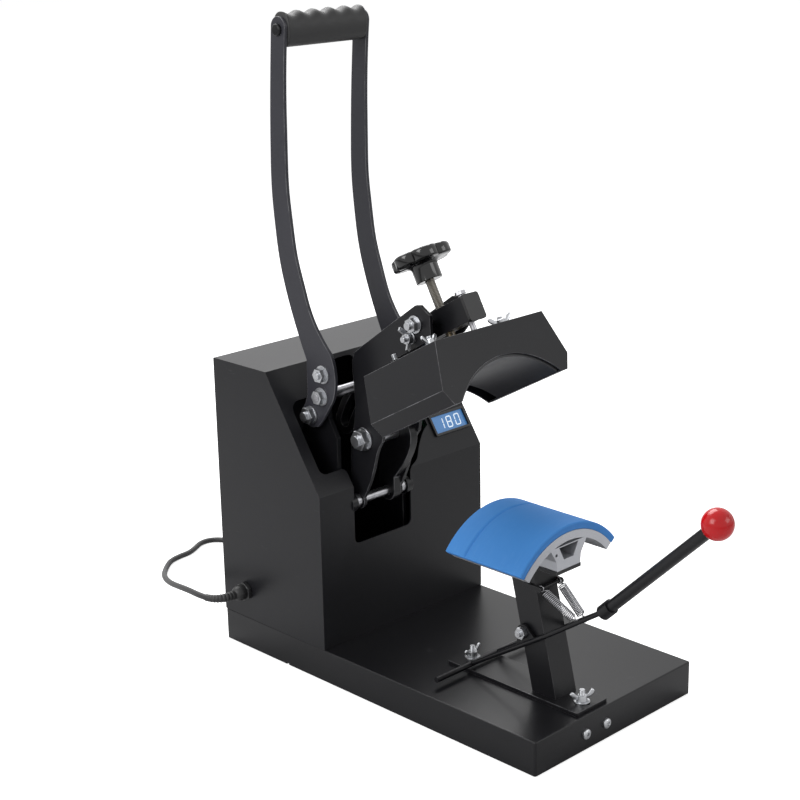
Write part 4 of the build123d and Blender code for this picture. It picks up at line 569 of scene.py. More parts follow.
# ---------------------------------------------------------------- repeated parts
class Recipe(Bench):
    """A Geometry Nodes tree that lays one shape out on marked places."""

    def __init__(self, name, **sizes):
        self.tree = bpy.data.node_groups.new(name, "GeometryNodeTree")
        face = self.tree.interface
        self.sockets = {}
        for size, kind in {"Places": "Geometry", **sizes, "Surface": "Material"}.items():
            made = face.new_socket(size, in_out="INPUT", socket_type="NodeSocket" + kind)
            self.sockets[size] = made.identifier
        face.new_socket("Parts", in_out="OUTPUT", socket_type="NodeSocketGeometry")
        self.given = self.tree.nodes.new("NodeGroupInput")

    def size(self, name):
        return Wire(self, self.find(self.given.outputs, self.sockets[name]))

    def vector(self, x, y, z):
        return self.part("ShaderNodeCombineXYZ", None, {"X": x, "Y": y, "Z": z})

    def raised(self, shape, height):
        lift = self.vector(0.0, 0.0, height)
        return self.part("GeometryNodeTransform", None, {"Geometry": shape, "Translation": lift})

    def ring(self, corners, radius):
        values = {"Resolution": corners, "Radius": radius}
        return self.part("GeometryNodeCurvePrimitiveCircle", None, values)

    def finish_with(self, shape):
        """Copies the shape onto every place, turned as the place's turn says."""
        turn = self.part("GeometryNodeInputNamedAttribute", {"data_type": "FLOAT_VECTOR"}, {"Name": "turn"})
        spread = {"Points": self.size("Places"), "Instance": shape, "Rotation": turn}
        laid = self.part("GeometryNodeInstanceOnPoints", None, spread)
        real = self.part("GeometryNodeRealizeInstances", None, {"Geometry": laid})
        coated = {"Geometry": real, "Material": self.size("Surface")}
        self.part("NodeGroupOutput", None, {0: self.part("GeometryNodeSetMaterial", None, coated)})
        return self


def laid_out(name, recipe, places, surface, **sizes):
    """The plain mesh that a recipe gives on these places."""
    points = bpy.data.meshes.new(name)
    points.from_pydata([place.translation for place in places], [], [])
    turn = points.attributes.new("turn", "FLOAT_VECTOR", "POINT")
    for mark, place in zip(turn.data, places):
        mark.vector = place.to_euler()
    blank = placed(name, points)
    layer = blank.modifiers.new("recipe", "NODES")
    layer.node_group = recipe.tree
    for size, value in {**sizes, "Surface": surface}.items():
        layer[recipe.sockets[size]] = value
    result = evaluated(blank)
    if "turn" in result.attributes:
        result.attributes.remove(result.attributes["turn"])
    return result


def copies_recipe():
    """Copies of one object."""
    recipe = Recipe("copies_on_places", Shape="Object")
    shape = recipe.part("GeometryNodeObjectInfo", None, {"Object": recipe.size("Shape")}, "Geometry")
    return recipe.finish_with(shape)


def thread_recipe():
    """A rod standing on each place with a rolled thread along it."""
    kinds = {"Radius": "Float", "Depth": "Float", "Pitch": "Float", "Length": "Float", "Rings": "Int"}
    recipe = Recipe("threaded_rod", **kinds)
    radius, depth, pitch, length, rings = map(recipe.size, kinds)
    blank = {"Vertices": 28, "Side Segments": rings, "Radius": radius, "Depth": length}
    rod = recipe.part("GeometryNodeMeshCylinder", {"fill_type": "TRIANGLE_FAN"}, blank)
    at = recipe.part("GeometryNodeInputPosition")
    x, y, height = (recipe.part("ShaderNodeSeparateXYZ", None, {0: at}, axis) for axis in "XYZ")
    turned = y.combine("ARCTAN2", y, x) * (1.0 / (2.0 * pi))
    wave = y.combine("PINGPONG", height / pitch + turned, 0.5) * 2.0
    # the thread runs out at both ends
    fade = (height.least(length - height) / pitch).least(1.0)
    cut = (wave * fade + (1.0 - fade)) * depth * -1.0
    flat = recipe.part("ShaderNodeVectorMath", {"operation": "MULTIPLY"}, {0: at, 1: (1.0, 1.0, 0.0)})
    out = recipe.part("ShaderNodeVectorMath", {"operation": "NORMALIZE"}, {0: flat})
    moved = recipe.part("ShaderNodeVectorMath", {"operation": "SCALE"}, {0: out, "Scale": cut})
    standing = recipe.raised(rod, length * 0.5)
    grooved = recipe.part("GeometryNodeSetPosition", None, {"Geometry": standing, "Offset": moved})
    return recipe.finish_with(grooved)


def spring_recipe():
    """A wound tension spring from its lower eye, at the place, to its upper eye up its Z."""
    kinds = dict.fromkeys(("Radius", "Wire", "Length", "Hook", "Turns", "Eye"), "Float")
    recipe = Recipe("wound_spring", **kinds)
    radius, wire, length, hook, turns, eye = map(recipe.size, kinds)
    coil = {"Resolution": 20, "Rotations": turns, "Start Radius": radius, "End Radius": radius}
    coil["Height"] = length - hook * 2.0
    line = recipe.raised(recipe.part("GeometryNodeCurveSpiral", None, coil), hook)
    upright_ring = {"Geometry": recipe.ring(24, eye), "Rotation": (pi / 2, 0.0, 0.0)}
    low = recipe.part("GeometryNodeTransform", None, upright_ring)
    links = []
    for start, way in ((eye, 1.0), (length - eye, -1.0)):
        far = start + (hook - eye) * way
        ends = {"Start": recipe.vector(0.0, 0.0, start), "End": recipe.vector(radius, 0.0, far)}
        links.append(recipe.part("GeometryNodeCurvePrimitiveLine", None, ends))
    eyes = [low, recipe.raised(low, length)]
    whole = recipe.part("GeometryNodeJoinGeometry", None, {0: [line, *eyes, *links]})
    swept = {"Curve": whole, "Profile Curve": recipe.ring(8, wire), "Fill Caps": True}
    solid = recipe.part("GeometryNodeCurveToMesh", None, swept)
    return recipe.finish_with(recipe.part("GeometryNodeSetShadeSmooth", None, {0: solid}))


copies = copies_recipe()
threads = thread_recipe()
springs = spring_recipe()


def turned_shape(name, profile, sides=36, sharp=32.0, outline=None):
    """A closed turned shape from (radius, height) steps, bottom to top, in millimetres."""
    verts = []
    faces = []
    rows = []
    for radius, height in profile:
        if radius < 1e-6:
            verts.append((0.0, 0.0, height * mm))
            rows.append([len(verts) - 1] * sides)
            continue
        start = len(verts)
        for i in range(sides):
            angle = 2 * pi * i / sides
            reach = radius * (outline(angle, radius) if outline else 1.0)
            verts.append((reach * cos(angle) * mm, reach * sin(angle) * mm, height * mm))
        rows.append(list(range(start, start + sides)))
    for low, high in zip(rows, rows[1:]):
        for i in range(sides):
            j = (i + 1) % sides
            ring = []
            for corner in (low[i], low[j], high[j], high[i]):
                if corner not in ring:
                    ring.append(corner)
            if len(ring) > 2:
                faces.append(ring)
    return mesh_from(name, verts, faces, sharp)


def stacked(name, rings, sharp=38.0):
    """A closed shape through rings of equal count, shown sharp above an angle in degrees."""
    count = len(rings[0])
    verts = [p for ring in rings for p in ring]
    faces = []
    for row in range(len(rings) - 1):
        for i in range(count):
            j = (i + 1) % count
            faces.append((row * count + i, row * count + j, (row + 1) * count + j, (row + 1) * count + i))
    faces.append(list(range(count))[::-1])
    faces.append([(len(rings) - 1) * count + i for i in range(count)])
    return mesh_from(name, verts, faces, sharp)


def moved_mesh(mesh, place):
    mesh.transform(place)
    return mesh


def carved(mesh, cutters):
    """The mesh with the cutter meshes taken out of it."""
    blank = placed("blank", mesh)
    tools = []
    for cutter in cutters:
        tool = placed("cutter", cutter)
        cut = blank.modifiers.new("cut", "BOOLEAN")
        set_up(cut, object=tool, operation="DIFFERENCE", solver="EXACT")
        tools.append(tool)
    result = evaluated(blank)
    for tool in tools:
        bpy.data.objects.remove(tool)
    result.shade_smooth()
    result.set_sharp_from_angle(angle=radians(30))
    return result


def block(width, depth, low, high, taper=1.0):
    """A box in millimetres, narrower at its low end by taper."""
    verts = []
    for z, share in ((low, taper), (high, 1.0)):
        for x, y in square:
            verts.append((x * width / 2 * share * mm, y * depth / 2 * share * mm, z * mm))
    faces = [(3, 2, 1, 0), (4, 5, 6, 7), (0, 1, 5, 4), (1, 2, 6, 5), (2, 3, 7, 6), (3, 0, 4, 7)]
    return mesh_from("block", verts, faces, round_all=False)


def pan_screw(head, rise, shank, length):
    """A pan-head screw with a cross recess; its head stands on the place."""
    dome = [(0.0, -length), (shank * 0.8, -length), (shank, -length + 0.5), (shank, 0.0), (head, 0.0)]
    dome.append((head, rise * 0.45))
    for i in range(1, 6):
        turn = i / 6 * pi / 2
        dome.append((head - rise * 0.9 * (1 - cos(turn)), rise * 0.45 + rise * 0.55 * sin(turn)))
    dome += [(head - rise * 0.95, rise), (0.0, rise)]
    body = turned_shape("pan_screw", dome, 32)
    slot, reach = head * 0.28, head * 1.15
    cross = [block(wide, deep, rise - 1.5, rise + 1, 0.55) for wide, deep in ((reach, slot), (slot, reach))]
    return carved(body, cross)


def hex_shape(across, low, high, bore=0.0):
    """A hexagon nut with its corners turned off."""
    flat = across / 2
    corner = across / sqrt(3)

    def outline(angle, radius):
        if radius < flat * 0.97:
            return 1.0
        step = (angle + pi / 6) % (pi / 3) - pi / 6
        return min(corner, flat / cos(step) if radius > flat * 1.02 else flat) / radius

    ease = (corner - flat) * 0.45
    face = flat * 0.96
    profile = [(bore, low), (face, low), (corner, low + ease), (corner, high - ease), (face, high)]
    if bore:
        profile += [(bore + 0.4, high), (bore, high - 0.4), (bore, low)]
    else:
        profile.append((0.0, high))
    return turned_shape("hex_nut", profile, 48, 25.0, outline)


def wing_nut(hub, rise):
    """A forged wing nut standing on its place, wings out along X."""
    bore, thick = hub * 0.56, 2.5
    barrel = [(bore, 0.0), (hub * 0.97, 0.0), (hub, 0.4), (hub * 0.84, rise - 0.5), (hub * 0.74, rise)]
    parts = [turned_shape("hub", [*barrel, (bore, rise), (bore, 0.0)], 36)]
    # a wing's outline in hub radii outward and in the nut's heights upward
    outline = [(0.4, 0.12), (1.0, 0.2), (1.5, 0.42), (2.05, 0.85), (2.38, 1.25), (2.4, 1.5)]
    outline += [(2.15, 1.72), (1.9, 1.74), (1.5, 1.5), (1.15, 1.15), (0.8, 0.95), (0.4, 0.9)]
    for side in both_sides:
        shape = bmesh.new()
        front = [shape.verts.new((side * x * hub * mm, -thick / 2 * mm, z * rise * mm)) for x, z in outline]
        face = shape.faces.new(front if side < 0 else front[::-1])
        more = bmesh.ops.extrude_face_region(shape, geom=[face])["geom"]
        back = [v for v in more if isinstance(v, bmesh.types.BMVert)]
        bmesh.ops.translate(shape, verts=back, vec=(0.0, thick * mm, 0.0))
        bmesh.ops.recalc_face_normals(shape, faces=shape.faces)
        rims = [e for e in shape.edges if e.calc_face_angle(0.0) > radians(60)]
        bmesh.ops.bevel(shape, geom=rims, offset=0.85 * mm, segments=3, profile=0.5, affect="EDGES")
        wing = bpy.data.meshes.new("wing")
        shape.to_mesh(wing)
        shape.free()
        wing.shade_smooth()
        parts.append(wing)
    return joined("wing_nut", parts)


steel = finishes["zinc_fastener"]


def copied(name, mesh, places, surface=steel):
    """Copies of a loose shape on these places, as one mesh."""
    pattern = placed(name + "_pattern", mesh)
    result = laid_out(name, copies, places, surface, Shape=pattern)
    bpy.data.objects.remove(pattern)
    return result


def threaded(name, places, surface, radius, length, pitch=1.0, depth=0.45):
    """Threaded rods standing on these places, with six rings of points to a turn."""
    sizes = {"Radius": radius * mm, "Depth": depth * mm, "Pitch": pitch * mm, "Length": length * mm}
    return laid_out(name, threads, places, surface, **sizes, Rings=int(length / pitch * 6))


def set_in(name, node, *meshes):
    """One piece from several meshes, shown in the node's place."""
    return stand_in(name, joined(name, meshes), node)


def turned_about(place, degrees_on):
    return place @ Matrix.Rotation(radians(degrees_on), 4, "Z")


def turned_in_steps(places, step, first=0):
    """The places, each turned a step further about its own axis."""
    return [turned_about(place, first + step * i) for i, place in enumerate(places)]


# ---------------------------------------------------------------- mains lead
lead_radius = 3.25
lead_route = [
    (-137.0, 418.0, 68.0), (-144.5, 418.0, 68.0), (-151.6, 420.9, 67.7), (-157.0, 426.2, 67.4),
    (-160.0, 433.2, 67.1), (-160.6, 441.0, 66.6), (-159.4, 453.0, 65.3), (-155.8, 468.0, 63.0),
    (-150.0, 487.0, 58.9), (-141.5, 511.0, 52.3), (-128.5, 543.0, 42.6), (-109.0, 580.0, 31.0),
    (-84.0, 618.0, 18.4), (-63.0, 645.0, 8.2), (-46.5, 664.0, 3.4), (-31.0, 676.5, 3.4),
    (-14.0, 680.5, 3.4), (2.0, 681.0, 3.4), (17.0, 688.0, 3.4), (32.0, 697.0, 3.4),
    (46.5, 696.5, 3.4), (57.5, 687.0, 3.4), (62.5, 672.0, 3.4), (62.5, 655.0, 3.4),
    (62.5, 635.4, 3.4),
]
coil_middle = (99.75, 628.0)
coil_wide, coil_narrow = 37.25, 30.75
coil_levels = (3.4, 9.9, 16.4)
# each change of layer: where it is in the winding, how long it takes, and what it adds
layer_changes = (
    (494.0, 120.0, coil_narrow - coil_wide, 0.0),
    (820.0, 70.0, 0.0, coil_levels[1] - coil_levels[0]),
    (1175.0, 70.0, 0.0, coil_levels[2] - coil_levels[1]),
    (1504.0, 110.0, coil_wide - coil_narrow, 0.0),
    (1831.0, 70.0, 0.0, coil_levels[1] - coil_levels[2]),
)
coil_turns, turn_points = 5.5, 16


def wound(angle):
    """The coil's radius and height where it has turned this far, in degrees."""
    radius, height = coil_wide, coil_levels[0]
    for middle, span, wider, higher in layer_changes:
        share = min(1.0, max(0.0, (angle - middle) / span + 0.5))
        share = share * share * (3 - 2 * share)
        radius += wider * share
        height += higher * share
    return radius, height


coil_step = 360.0 / turn_points
for i in range(int(coil_turns * turn_points)):
    angle = 180.0 + coil_step * (i + 0.5)
    radius, height = wound(angle)
    reach = radius / cos(radians(coil_step / 2))
    across, along = reach * cos(radians(angle)), reach * sin(radians(angle))
    lead_route.append((coil_middle[0] + across, coil_middle[1] + along, height))
lead_route += [(137.0, 635.4, 9.9), (137.0, 655.0, 9.9)]


def lead_curve(name, bevel):
    """The lead's route as a curve, with this radius in millimetres."""
    shape = dict(dimensions="3D", resolution_u=6, bevel_depth=bevel * mm, bevel_resolution=5)
    data = set_up(bpy.data.curves.new(name, "CURVE"), **shape, use_fill_caps=bevel > 0)
    line = data.splines.new("NURBS")
    line.points.add(len(lead_route) - 1)
    for knot, spot in zip(line.points, lead_route):
        knot.co = (*to_metres(*spot), 1.0)
    set_up(line, order_u=3, use_endpoint_u=True, use_smooth=True)
    return data


cord = placed("mains_lead", lead_curve("mains_lead", lead_radius))
cord.data.materials.append(finishes["cord_sheath"])
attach(cord, "base")
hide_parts("power_cord", "cord_coil")

guide = placed("lead_guide", lead_curve("lead_guide", 0.0))
guide_line = [Vector(v.co) for v in evaluated(guide).vertices]


def sleeve_mesh(points, radius_at, corners=28):
    """A tube along points whose radius, in millimetres, is a function of the run from its start."""
    rings = []
    run = 0.0
    side = Vector((0, 0, 1))
    for i, spot in enumerate(points):
        run += (spot - points[i - 1]).length if i else 0.0
        ahead = (points[min(i + 1, len(points) - 1)] - points[max(i - 1, 0)]).normalized()
        side = (side - ahead * side.dot(ahead)).normalized()
        other = ahead.cross(side)
        radius = radius_at(run / mm) * mm
        turns = [2 * pi * j / corners for j in range(corners)]
        rings.append([spot + (side * cos(turn) + other * sin(turn)) * radius for turn in turns])
    return stacked("sleeve", rings, 40.0)


def stepped_line(points, length, step):
    """Points a step apart along the first part of a line, in millimetres."""
    line = [points[0]]
    left = step * mm
    for a, b in zip(points, points[1:]):
        gap = (b - a).length
        place = 0.0
        while gap - place >= left:
            place += left
            line.append(a.lerp(b, place / gap))
            left = step * mm
            if (len(line) - 1) * step >= length:
                return line
        left -= gap - place
    return line


relief_length = 34.0


def relief_radius(run):
    """The strain relief tapers to the lead and is ringed with grooves."""
    share = min(1.0, run / relief_length)
    groove = 0.55 * max(0.0, sin(2 * pi * run / 3.4)) if 3.0 < run < relief_length - 2.0 else 0.0
    return 5.2 - 1.35 * share - groove * (1.0 - 0.4 * share)


gland_place = frame_at(to_metres(-120.0, 418.0, 68.0), (0, 1, 0), (-1, 0, 0))
dome = [(0.0, 4.9), (8.4, 4.9), (8.6, 5.3), (8.6, 10.6), (8.2, 11.2), (7.9, 12.6)]
dome += [(7.0, 14.6), (5.6, 16.5), (5.0, 17.0), (0.0, 17.0)]


def grip_flutes(angle, radius):
    """Sixteen shallow flutes around the dome's widest part."""
    return 1.0 - (0.035 if radius > 8.3 else 0.0) * (0.5 + 0.5 * cos(angle * 16))


gland_parts = [
    hex_shape(19.0, 0.0, 5.0),
    turned_shape("gland_dome", dome, 48, 30.0, grip_flutes),
    turned_shape("gland_neck", [(0.0, -10.0), (6.0, -10.0), (6.0, 0.2), (0.0, 0.2)], 32),
    hex_shape(18.0, -6.0, -2.0),
]
for part in gland_parts:
    moved_mesh(part, gland_place)
relief = sleeve_mesh(stepped_line(guide_line, relief_length, 0.42), relief_radius)
gland = set_in("cable_gland_sleeve", "cable_gland", *gland_parts, relief)

plug_place = frame_at(to_metres(137.0, 655.0, 9.9), (1, 0, 0), (0, 1, 0))


def rounded_ring(half_width, half_height, corner, height, count=40):
    """A rounded rectangle of points at a height, in millimetres."""
    ring = []
    for i in range(count):
        turn = 2 * pi * i / count
        c, s = cos(turn), sin(turn)
        x = max(-1.0, min(1.0, c * 1.6)) * (half_width - corner) + corner * c
        y = max(-1.0, min(1.0, s * 1.6)) * (half_height - corner) + corner * s
        ring.append((x * mm, y * mm, height * mm))
    return ring


boot_steps = [(0.0, 0.0), (4.6, 0.0)]
for i in range(38):
    height = 0.3 + 0.3 * i
    groove = 0.6 if int(height / 1.2) % 2 else 0.0
    boot_steps.append((4.9 + 0.13 * height - groove, height))
boot = turned_shape("plug_boot", [*boot_steps, (6.4, 12.2), (0.0, 12.2)], 32, 30.0)
plug_half, plug_face = 9.6, 38.0
# half width, half height, corner radius and height of each section
plug_sections = [
    (8.0, 6.4, 5.0, 11.6),
    (11.5, 8.0, 6.0, 12.6),
    (14.2, 9.2, 6.0, 15.5),
    (14.9, plug_half, 6.0, 20.0),
    (14.9, plug_half, 6.0, plug_face - 1.6),
    (14.4, plug_half - 0.5, 5.6, plug_face - 0.4),
    (13.4, plug_half - 1.5, 5.0, plug_face),
]
shell = stacked("plug_shell", [rounded_ring(*section) for section in plug_sections])
grip_bars = [
    moved_mesh(block(0.9, 9.0, 16.5 + 3.0 * i, 17.7 + 3.0 * i), Matrix.Translation((side * 14.7 * mm, 0, 0)))
    for i in range(6)
    for side in both_sides
]
plug_body = joined("plug_body", [boot, shell, *grip_bars])
plug = new_piece("mains_plug_body", moved_mesh(plug_body, plug_place), "power_plug")
pin = turned_shape("pin", [(0.0, -1.0), (2.2, -1.0), (2.2, 16.6), (1.7, 17.7), (0.9, 18.0), (0.0, 18.0)], 24)
pin_places = [plug_place @ Matrix.Translation((side * 9.5 * mm, 0, plug_face * mm)) for side in both_sides]
pin_pair = copied("mains_plug_pins", pin, pin_places, finishes["bright_steel"])
pins = new_piece("mains_plug_pins", pin_pair, "power_plug")
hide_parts("power_plug")
tuple(to_metres(-137.0, 418.0, 68.0))

# ---------------------------------------------------------------- metal work with eased edges
# how far each node's edges are eased, in millimetres
edge_easing = dict(
    base_tray=0.5, housing_shell=0.9, back_cover=0.4, frame_plate_left=0.7, frame_plate_right=0.7,
    arm_blocks=0.8, display_bezel=0.5, power_switch=0.5, switch_rocker=0.5, mains_modules=0.5,
    stand_plate=0.5, stand_post=0.7, cradle_bracket=0.5, pad_cradle=0.6, stand_fasteners=0.4,
    lever_frame=0.5, handle_bar_left=0.8, handle_bar_right=0.8, arm_plate_left=0.7,
    arm_plate_right=0.7, cam_plate=0.7, carrier_tube=0.8, head_cover=0.7, upper_platen=0.5,
    arm_shaft=0.4, cross_shaft=0.4, screw_bearing=0.5, rubber_feet=0.6, handle_pivot_bolts=0.5,
    stop_bolts=0.4, bar_nuts=0.5, arm_cross_bolt=0.6, tilt_fasteners=0.4, guide_pins=0.4,
    lever_rod=0.4, grip_rod=0.4,
)
handle_pieces = ("handle_bar_left", "handle_bar_right")
for node, width in edge_easing.items():
    mesh = eased(node, width)
    # the handle bars take the lighter copy of the charcoal coat, which paints light on them
    if node in handle_pieces:
        mesh.materials[0] = finishes["lit_handle_coat"]
    stand_in(node + "_finished", mesh, node)

# ---------------------------------------------------------------- blue pad
pad_centre_z = 128.5
pad_outer, pad_inner = 91.0, 83.5
pad_near, pad_far = 36.2, 133.2
pad_half_angle = radians(50.0)
crease_at, crease_depth, crease_width = 108.0, 1.5, 1.25
sag_depth = 0.25


def pad_mesh():
    """The curved sponge: eased edges, a pressed crease across it and a faint sag between."""
    around, along, ease = 96, 64, 1.5
    rim = [0.0, 0.25, 0.55, 0.9, 1.3]
    edge = ease / pad_outer / pad_half_angle
    even = [-1 + 2 * i / around for i in range(around + 1)]
    us = [-1 + edge * r for r in rim]
    us += [u for u in even if abs(u) < 1 - edge * 1.5]
    us += [1 - edge * r for r in rim[::-1]]
    length = pad_far - pad_near
    ds = [pad_near + ease * r for r in rim]
    ds += [pad_near + length * i / along for i in range(2, along - 1)]
    ds = sorted([d for d in ds if abs(d - crease_at) > 4.0] + [crease_at + 0.5 * i for i in range(-8, 9)])
    ds += [pad_far - ease * r for r in rim[::-1]]

    def fall(inset):
        """How far an eased edge drops this far in from it."""
        inset = min(inset, ease)
        return ease - sqrt(max(0.0, ease**2 - (ease - inset) ** 2))

    verts = []
    rows = []
    for top in (True, False):
        grid = []
        for u in us:
            line = []
            for d in ds:
                from_side = (1 - abs(u)) * pad_half_angle * pad_outer
                from_end = min(d - pad_near, pad_far - d)
                drop = max(fall(from_side), fall(from_end))
                if top:
                    crease = crease_depth * exp(-(((d - crease_at) / crease_width) ** 2))
                    sag = sag_depth * sin(pi * (d - pad_near) / length) * cos(u * 4.5) ** 2
                    radius = pad_outer - drop - crease - sag * 0.6
                else:
                    radius = pad_inner + 0.5 * drop
                angle = u * pad_half_angle
                verts.append(to_metres(mid_x + radius * sin(angle), d, pad_centre_z + radius * cos(angle)))
                line.append(len(verts) - 1)
            grid.append(line)
        rows.append(grid)
    faces = []
    top, low = rows
    for i in range(len(us) - 1):
        for j in range(len(ds) - 1):
            faces.append((top[i][j], top[i + 1][j], top[i + 1][j + 1], top[i][j + 1]))
            faces.append((low[i][j], low[i][j + 1], low[i + 1][j + 1], low[i + 1][j]))
    for i in range(len(us) - 1):
        faces.append((top[i][0], low[i][0], low[i + 1][0], top[i + 1][0]))
        faces.append((top[i][-1], top[i + 1][-1], low[i + 1][-1], low[i][-1]))
    for j in range(len(ds) - 1):
        faces.append((top[0][j], top[0][j + 1], low[0][j + 1], low[0][j]))
        faces.append((top[-1][j], low[-1][j], low[-1][j + 1], top[-1][j + 1]))
    edge_start = 2 * (len(us) - 1) * (len(ds) - 1)
    mesh = mesh_from("pad", verts, faces, 50.0)
    mark = mesh.attributes.new("pad_side_face", "FLOAT", "FACE")
    for face in mesh.polygons:
        mark.data[face.index].value = float(face.index >= edge_start)
    return mesh


pad = stand_in("silicone_pad", pad_mesh(), "lower_pad")

# ---------------------------------------------------------------- screws and nuts
front_half, front_height = 15.3, 18.2
foot_half, foot_rows, foot_height = 96.0, (24.0, 431.0), 3.0
front_spots = [to_metres(mid_x + side * front_half, 0.0, front_height) for side in both_sides]
front_face = [frame_at(spot, (1, 0, 0), (0, -1, 0)) for spot in front_spots]
under_feet = upright_pairs(0.0, foot_half, foot_rows, foot_height, True)
set_in(
    "tray_screw_set",
    "tray_screws",
    copied("front_pair", pan_screw(5.2, 3.4, 2.5, 9.0), turned_in_steps(front_face, 35, 20)),
    copied("foot_four", pan_screw(4.5, 2.6, 2.4, 9.6), turned_in_steps(under_feet, 17)),
)

fold_half, cover_heights = 112.0, (60.6, 180.8, 301.0)
flange_rows, flange_height = (322.0, 415.0), 38.6
block_half, block_row, block_heights = 49.0, 319.0, (177.0, 195.0)
frame_half, frame_rows = 60.0, (323.0, 414.0)
bolt_height, nut_height = 41.6, 30.6
cover_spots = [to_metres(side * fold_half, housing_back, z) for side in both_sides for z in cover_heights]
back_face = [frame_at(spot, (1, 0, 0), (0, 1, 0)) for spot in cover_spots]
on_flange = upright_pairs(0.0, fold_half, flange_rows, flange_height)
on_blocks = [
    side_place(mid_x + side * block_half, block_row, z, side) for side in both_sides for z in block_heights
]
on_frame = upright_pairs(mid_x, frame_half, frame_rows, bolt_height)
under_frame = upright_pairs(mid_x, frame_half, frame_rows, nut_height)
set_in(
    "housing_screw_set",
    "housing_fasteners",
    copied("cover_screws", pan_screw(3.6, 2.4, 2.0, 6.5), turned_in_steps(back_face + on_flange, 23)),
    copied("block_screws", pan_screw(4.5, 3.0, 2.5, 11.0), turned_in_steps(on_blocks, 31)),
    copied("frame_bolts", pan_screw(5.5, 4.0, 3.0, 13.0), turned_in_steps(on_frame, 19)),
    copied("frame_nuts", hex_shape(10.0, 0.0, 4.0), under_frame),
)

wing_hub, wing_rise = 5.5, 6.0
washer_rise = 1.2
washer_bore = 3.2
washer_rim = [(7.8, 0.0), (8.0, 0.2), (8.0, 1.0), (7.8, washer_rise)]
washer_steps = [(washer_bore, 0.0), *washer_rim, (washer_bore, washer_rise), (washer_bore, 0.0)]
washer = turned_shape("washer", washer_steps, 40)
stud_half, stud_front, stud_rear = 50.0, 33.0, 88.0
stud_bottom, spacer_bottom = -34.0, -28.0
head_front = [head_spot(side * stud_half, stud_front, 0.0) for side in both_sides]
head_rear = [head_spot(side * stud_half, stud_rear, 0.0) for side in both_sides]
on_washer = Matrix.Translation((0, 0, washer_rise * mm))
raised_nuts = [turned_about(place @ on_washer, turn) for place, turn in zip(head_front, (14.0, -22.0))]
head_washers = copied("head_washers", washer, head_front)
head_wings = copied("head_wings", wing_nut(wing_hub, wing_rise), raised_nuts)
set_in("head_wing_nut_set", "head_wing_nuts", head_washers, head_wings)

dark_coat = finishes["black_powder_coat"]
rear_nuts = copied("head_rear_nut_set", hex_shape(10.0, 0.0, 4.0, 3.05), head_rear, dark_coat)
stand_in("head_rear_nut_set", rear_nuts, "head_rear_nuts")

stud_spots = [(side * stud_half, y) for side in both_sides for y in (stud_front, stud_rear)]
spacer = turned_shape("spacer", [(0.0, 0.0), (5.0, 0.0), (5.0, 26.5), (0.0, 26.5)], 28)
set_in(
    "head_stud_set",
    "head_studs",
    threaded("head_stud_rods", [head_spot(*spot, stud_bottom) for spot in stud_spots], steel, 3.0, 44.0),
    copied("head_spacers", spacer, [head_spot(*spot, spacer_bottom) for spot in stud_spots]),
)

stand_rows, stand_turns = (18.0, 163.5), (-24.0, 8.0)
rod_bottom, plate_top, washer_gap = 31.6, 40.6, 0.05
on_plate = [upright(mid_x, d, plate_top + washer_gap) for d in stand_rows]
stand_nuts = [turned_about(place @ on_washer, turn) for place, turn in zip(on_plate, stand_turns)]
flange = turned_shape("flange", [(0.0, 0.0), (7.0, 0.0), (7.0, 3.0), (0.0, 3.0)], 32)
set_in(
    "stand_stud_set",
    "stand_studs",
    threaded("stand_rods", [upright(mid_x, d, rod_bottom) for d in stand_rows], steel, 3.0, 22.0),
    copied("stand_washers", washer, on_plate),
    copied("stand_wings", wing_nut(wing_hub, wing_rise), stand_nuts),
    copied("stand_flange", flange, [upright(mid_x, stand_rows[1], rod_bottom)]),
)

# ---------------------------------------------------------------- pressure screw and knob
screw_row = 55.0
dark_steel = finishes["dark_steel"]
screw = threaded("pressure_screw_threaded", [head_spot(0.0, screw_row, 1.6)], dark_steel, 5.0, 90.4, 1.5, 0.7)
stand_in("pressure_screw_threaded", screw, "pressure_screw", dark_steel)


def lobes(angle, radius):
    """Six lobes with sharp flutes between them, only out at the rim."""
    hub, flute_depth = 20.0, 0.17
    if radius < hub:
        return 1.0
    return 1.0 - flute_depth * (1.0 - abs(cos(3 * angle)) ** 0.75)


# bore, hub, the underside's cone, the rim and the dished top, as radius and height
knob_bore, knob_low, knob_rim = 5.3, 66.0, 31.0
knob_profile = [(knob_bore, knob_low), (13.0, 66.0), (13.5, 66.5), (13.5, 80.0), (14.2, 82.5), (16.5, 84.4)]
knob_profile += [(20.5, 85.0), (28.8, 85.0), (30.2, 85.5), (knob_rim, 86.8), (knob_rim, 93.2)]
for degrees_on in range(15, 91, 15):
    turn = radians(degrees_on)
    knob_profile.append((knob_rim - 3.4 * (1 - cos(turn)), 93.2 + 3.6 * sin(turn)))
knob_profile += [(23.5, 96.9), (19.5, 96.6), (12.5, 96.1), (10.0, 96.1), (9.3, 96.5), (7.0, 96.8)]
knob_profile += [(0.0, 96.9), (0.0, 92.4), (knob_bore, 92.4), (knob_bore, knob_low)]
knob_mesh = turned_shape("star_knob", knob_profile, 144, 40.0, lobes)
stand_in("star_knob", moved_mesh(knob_mesh, head_spot(0.0, screw_row, 0.0)), "pressure_knob")

# ---------------------------------------------------------------- handle grip
grip_middle = (366.0, 668.5)
grip_half = 53.0
grip_deep, grip_high = 12.9, 17.6


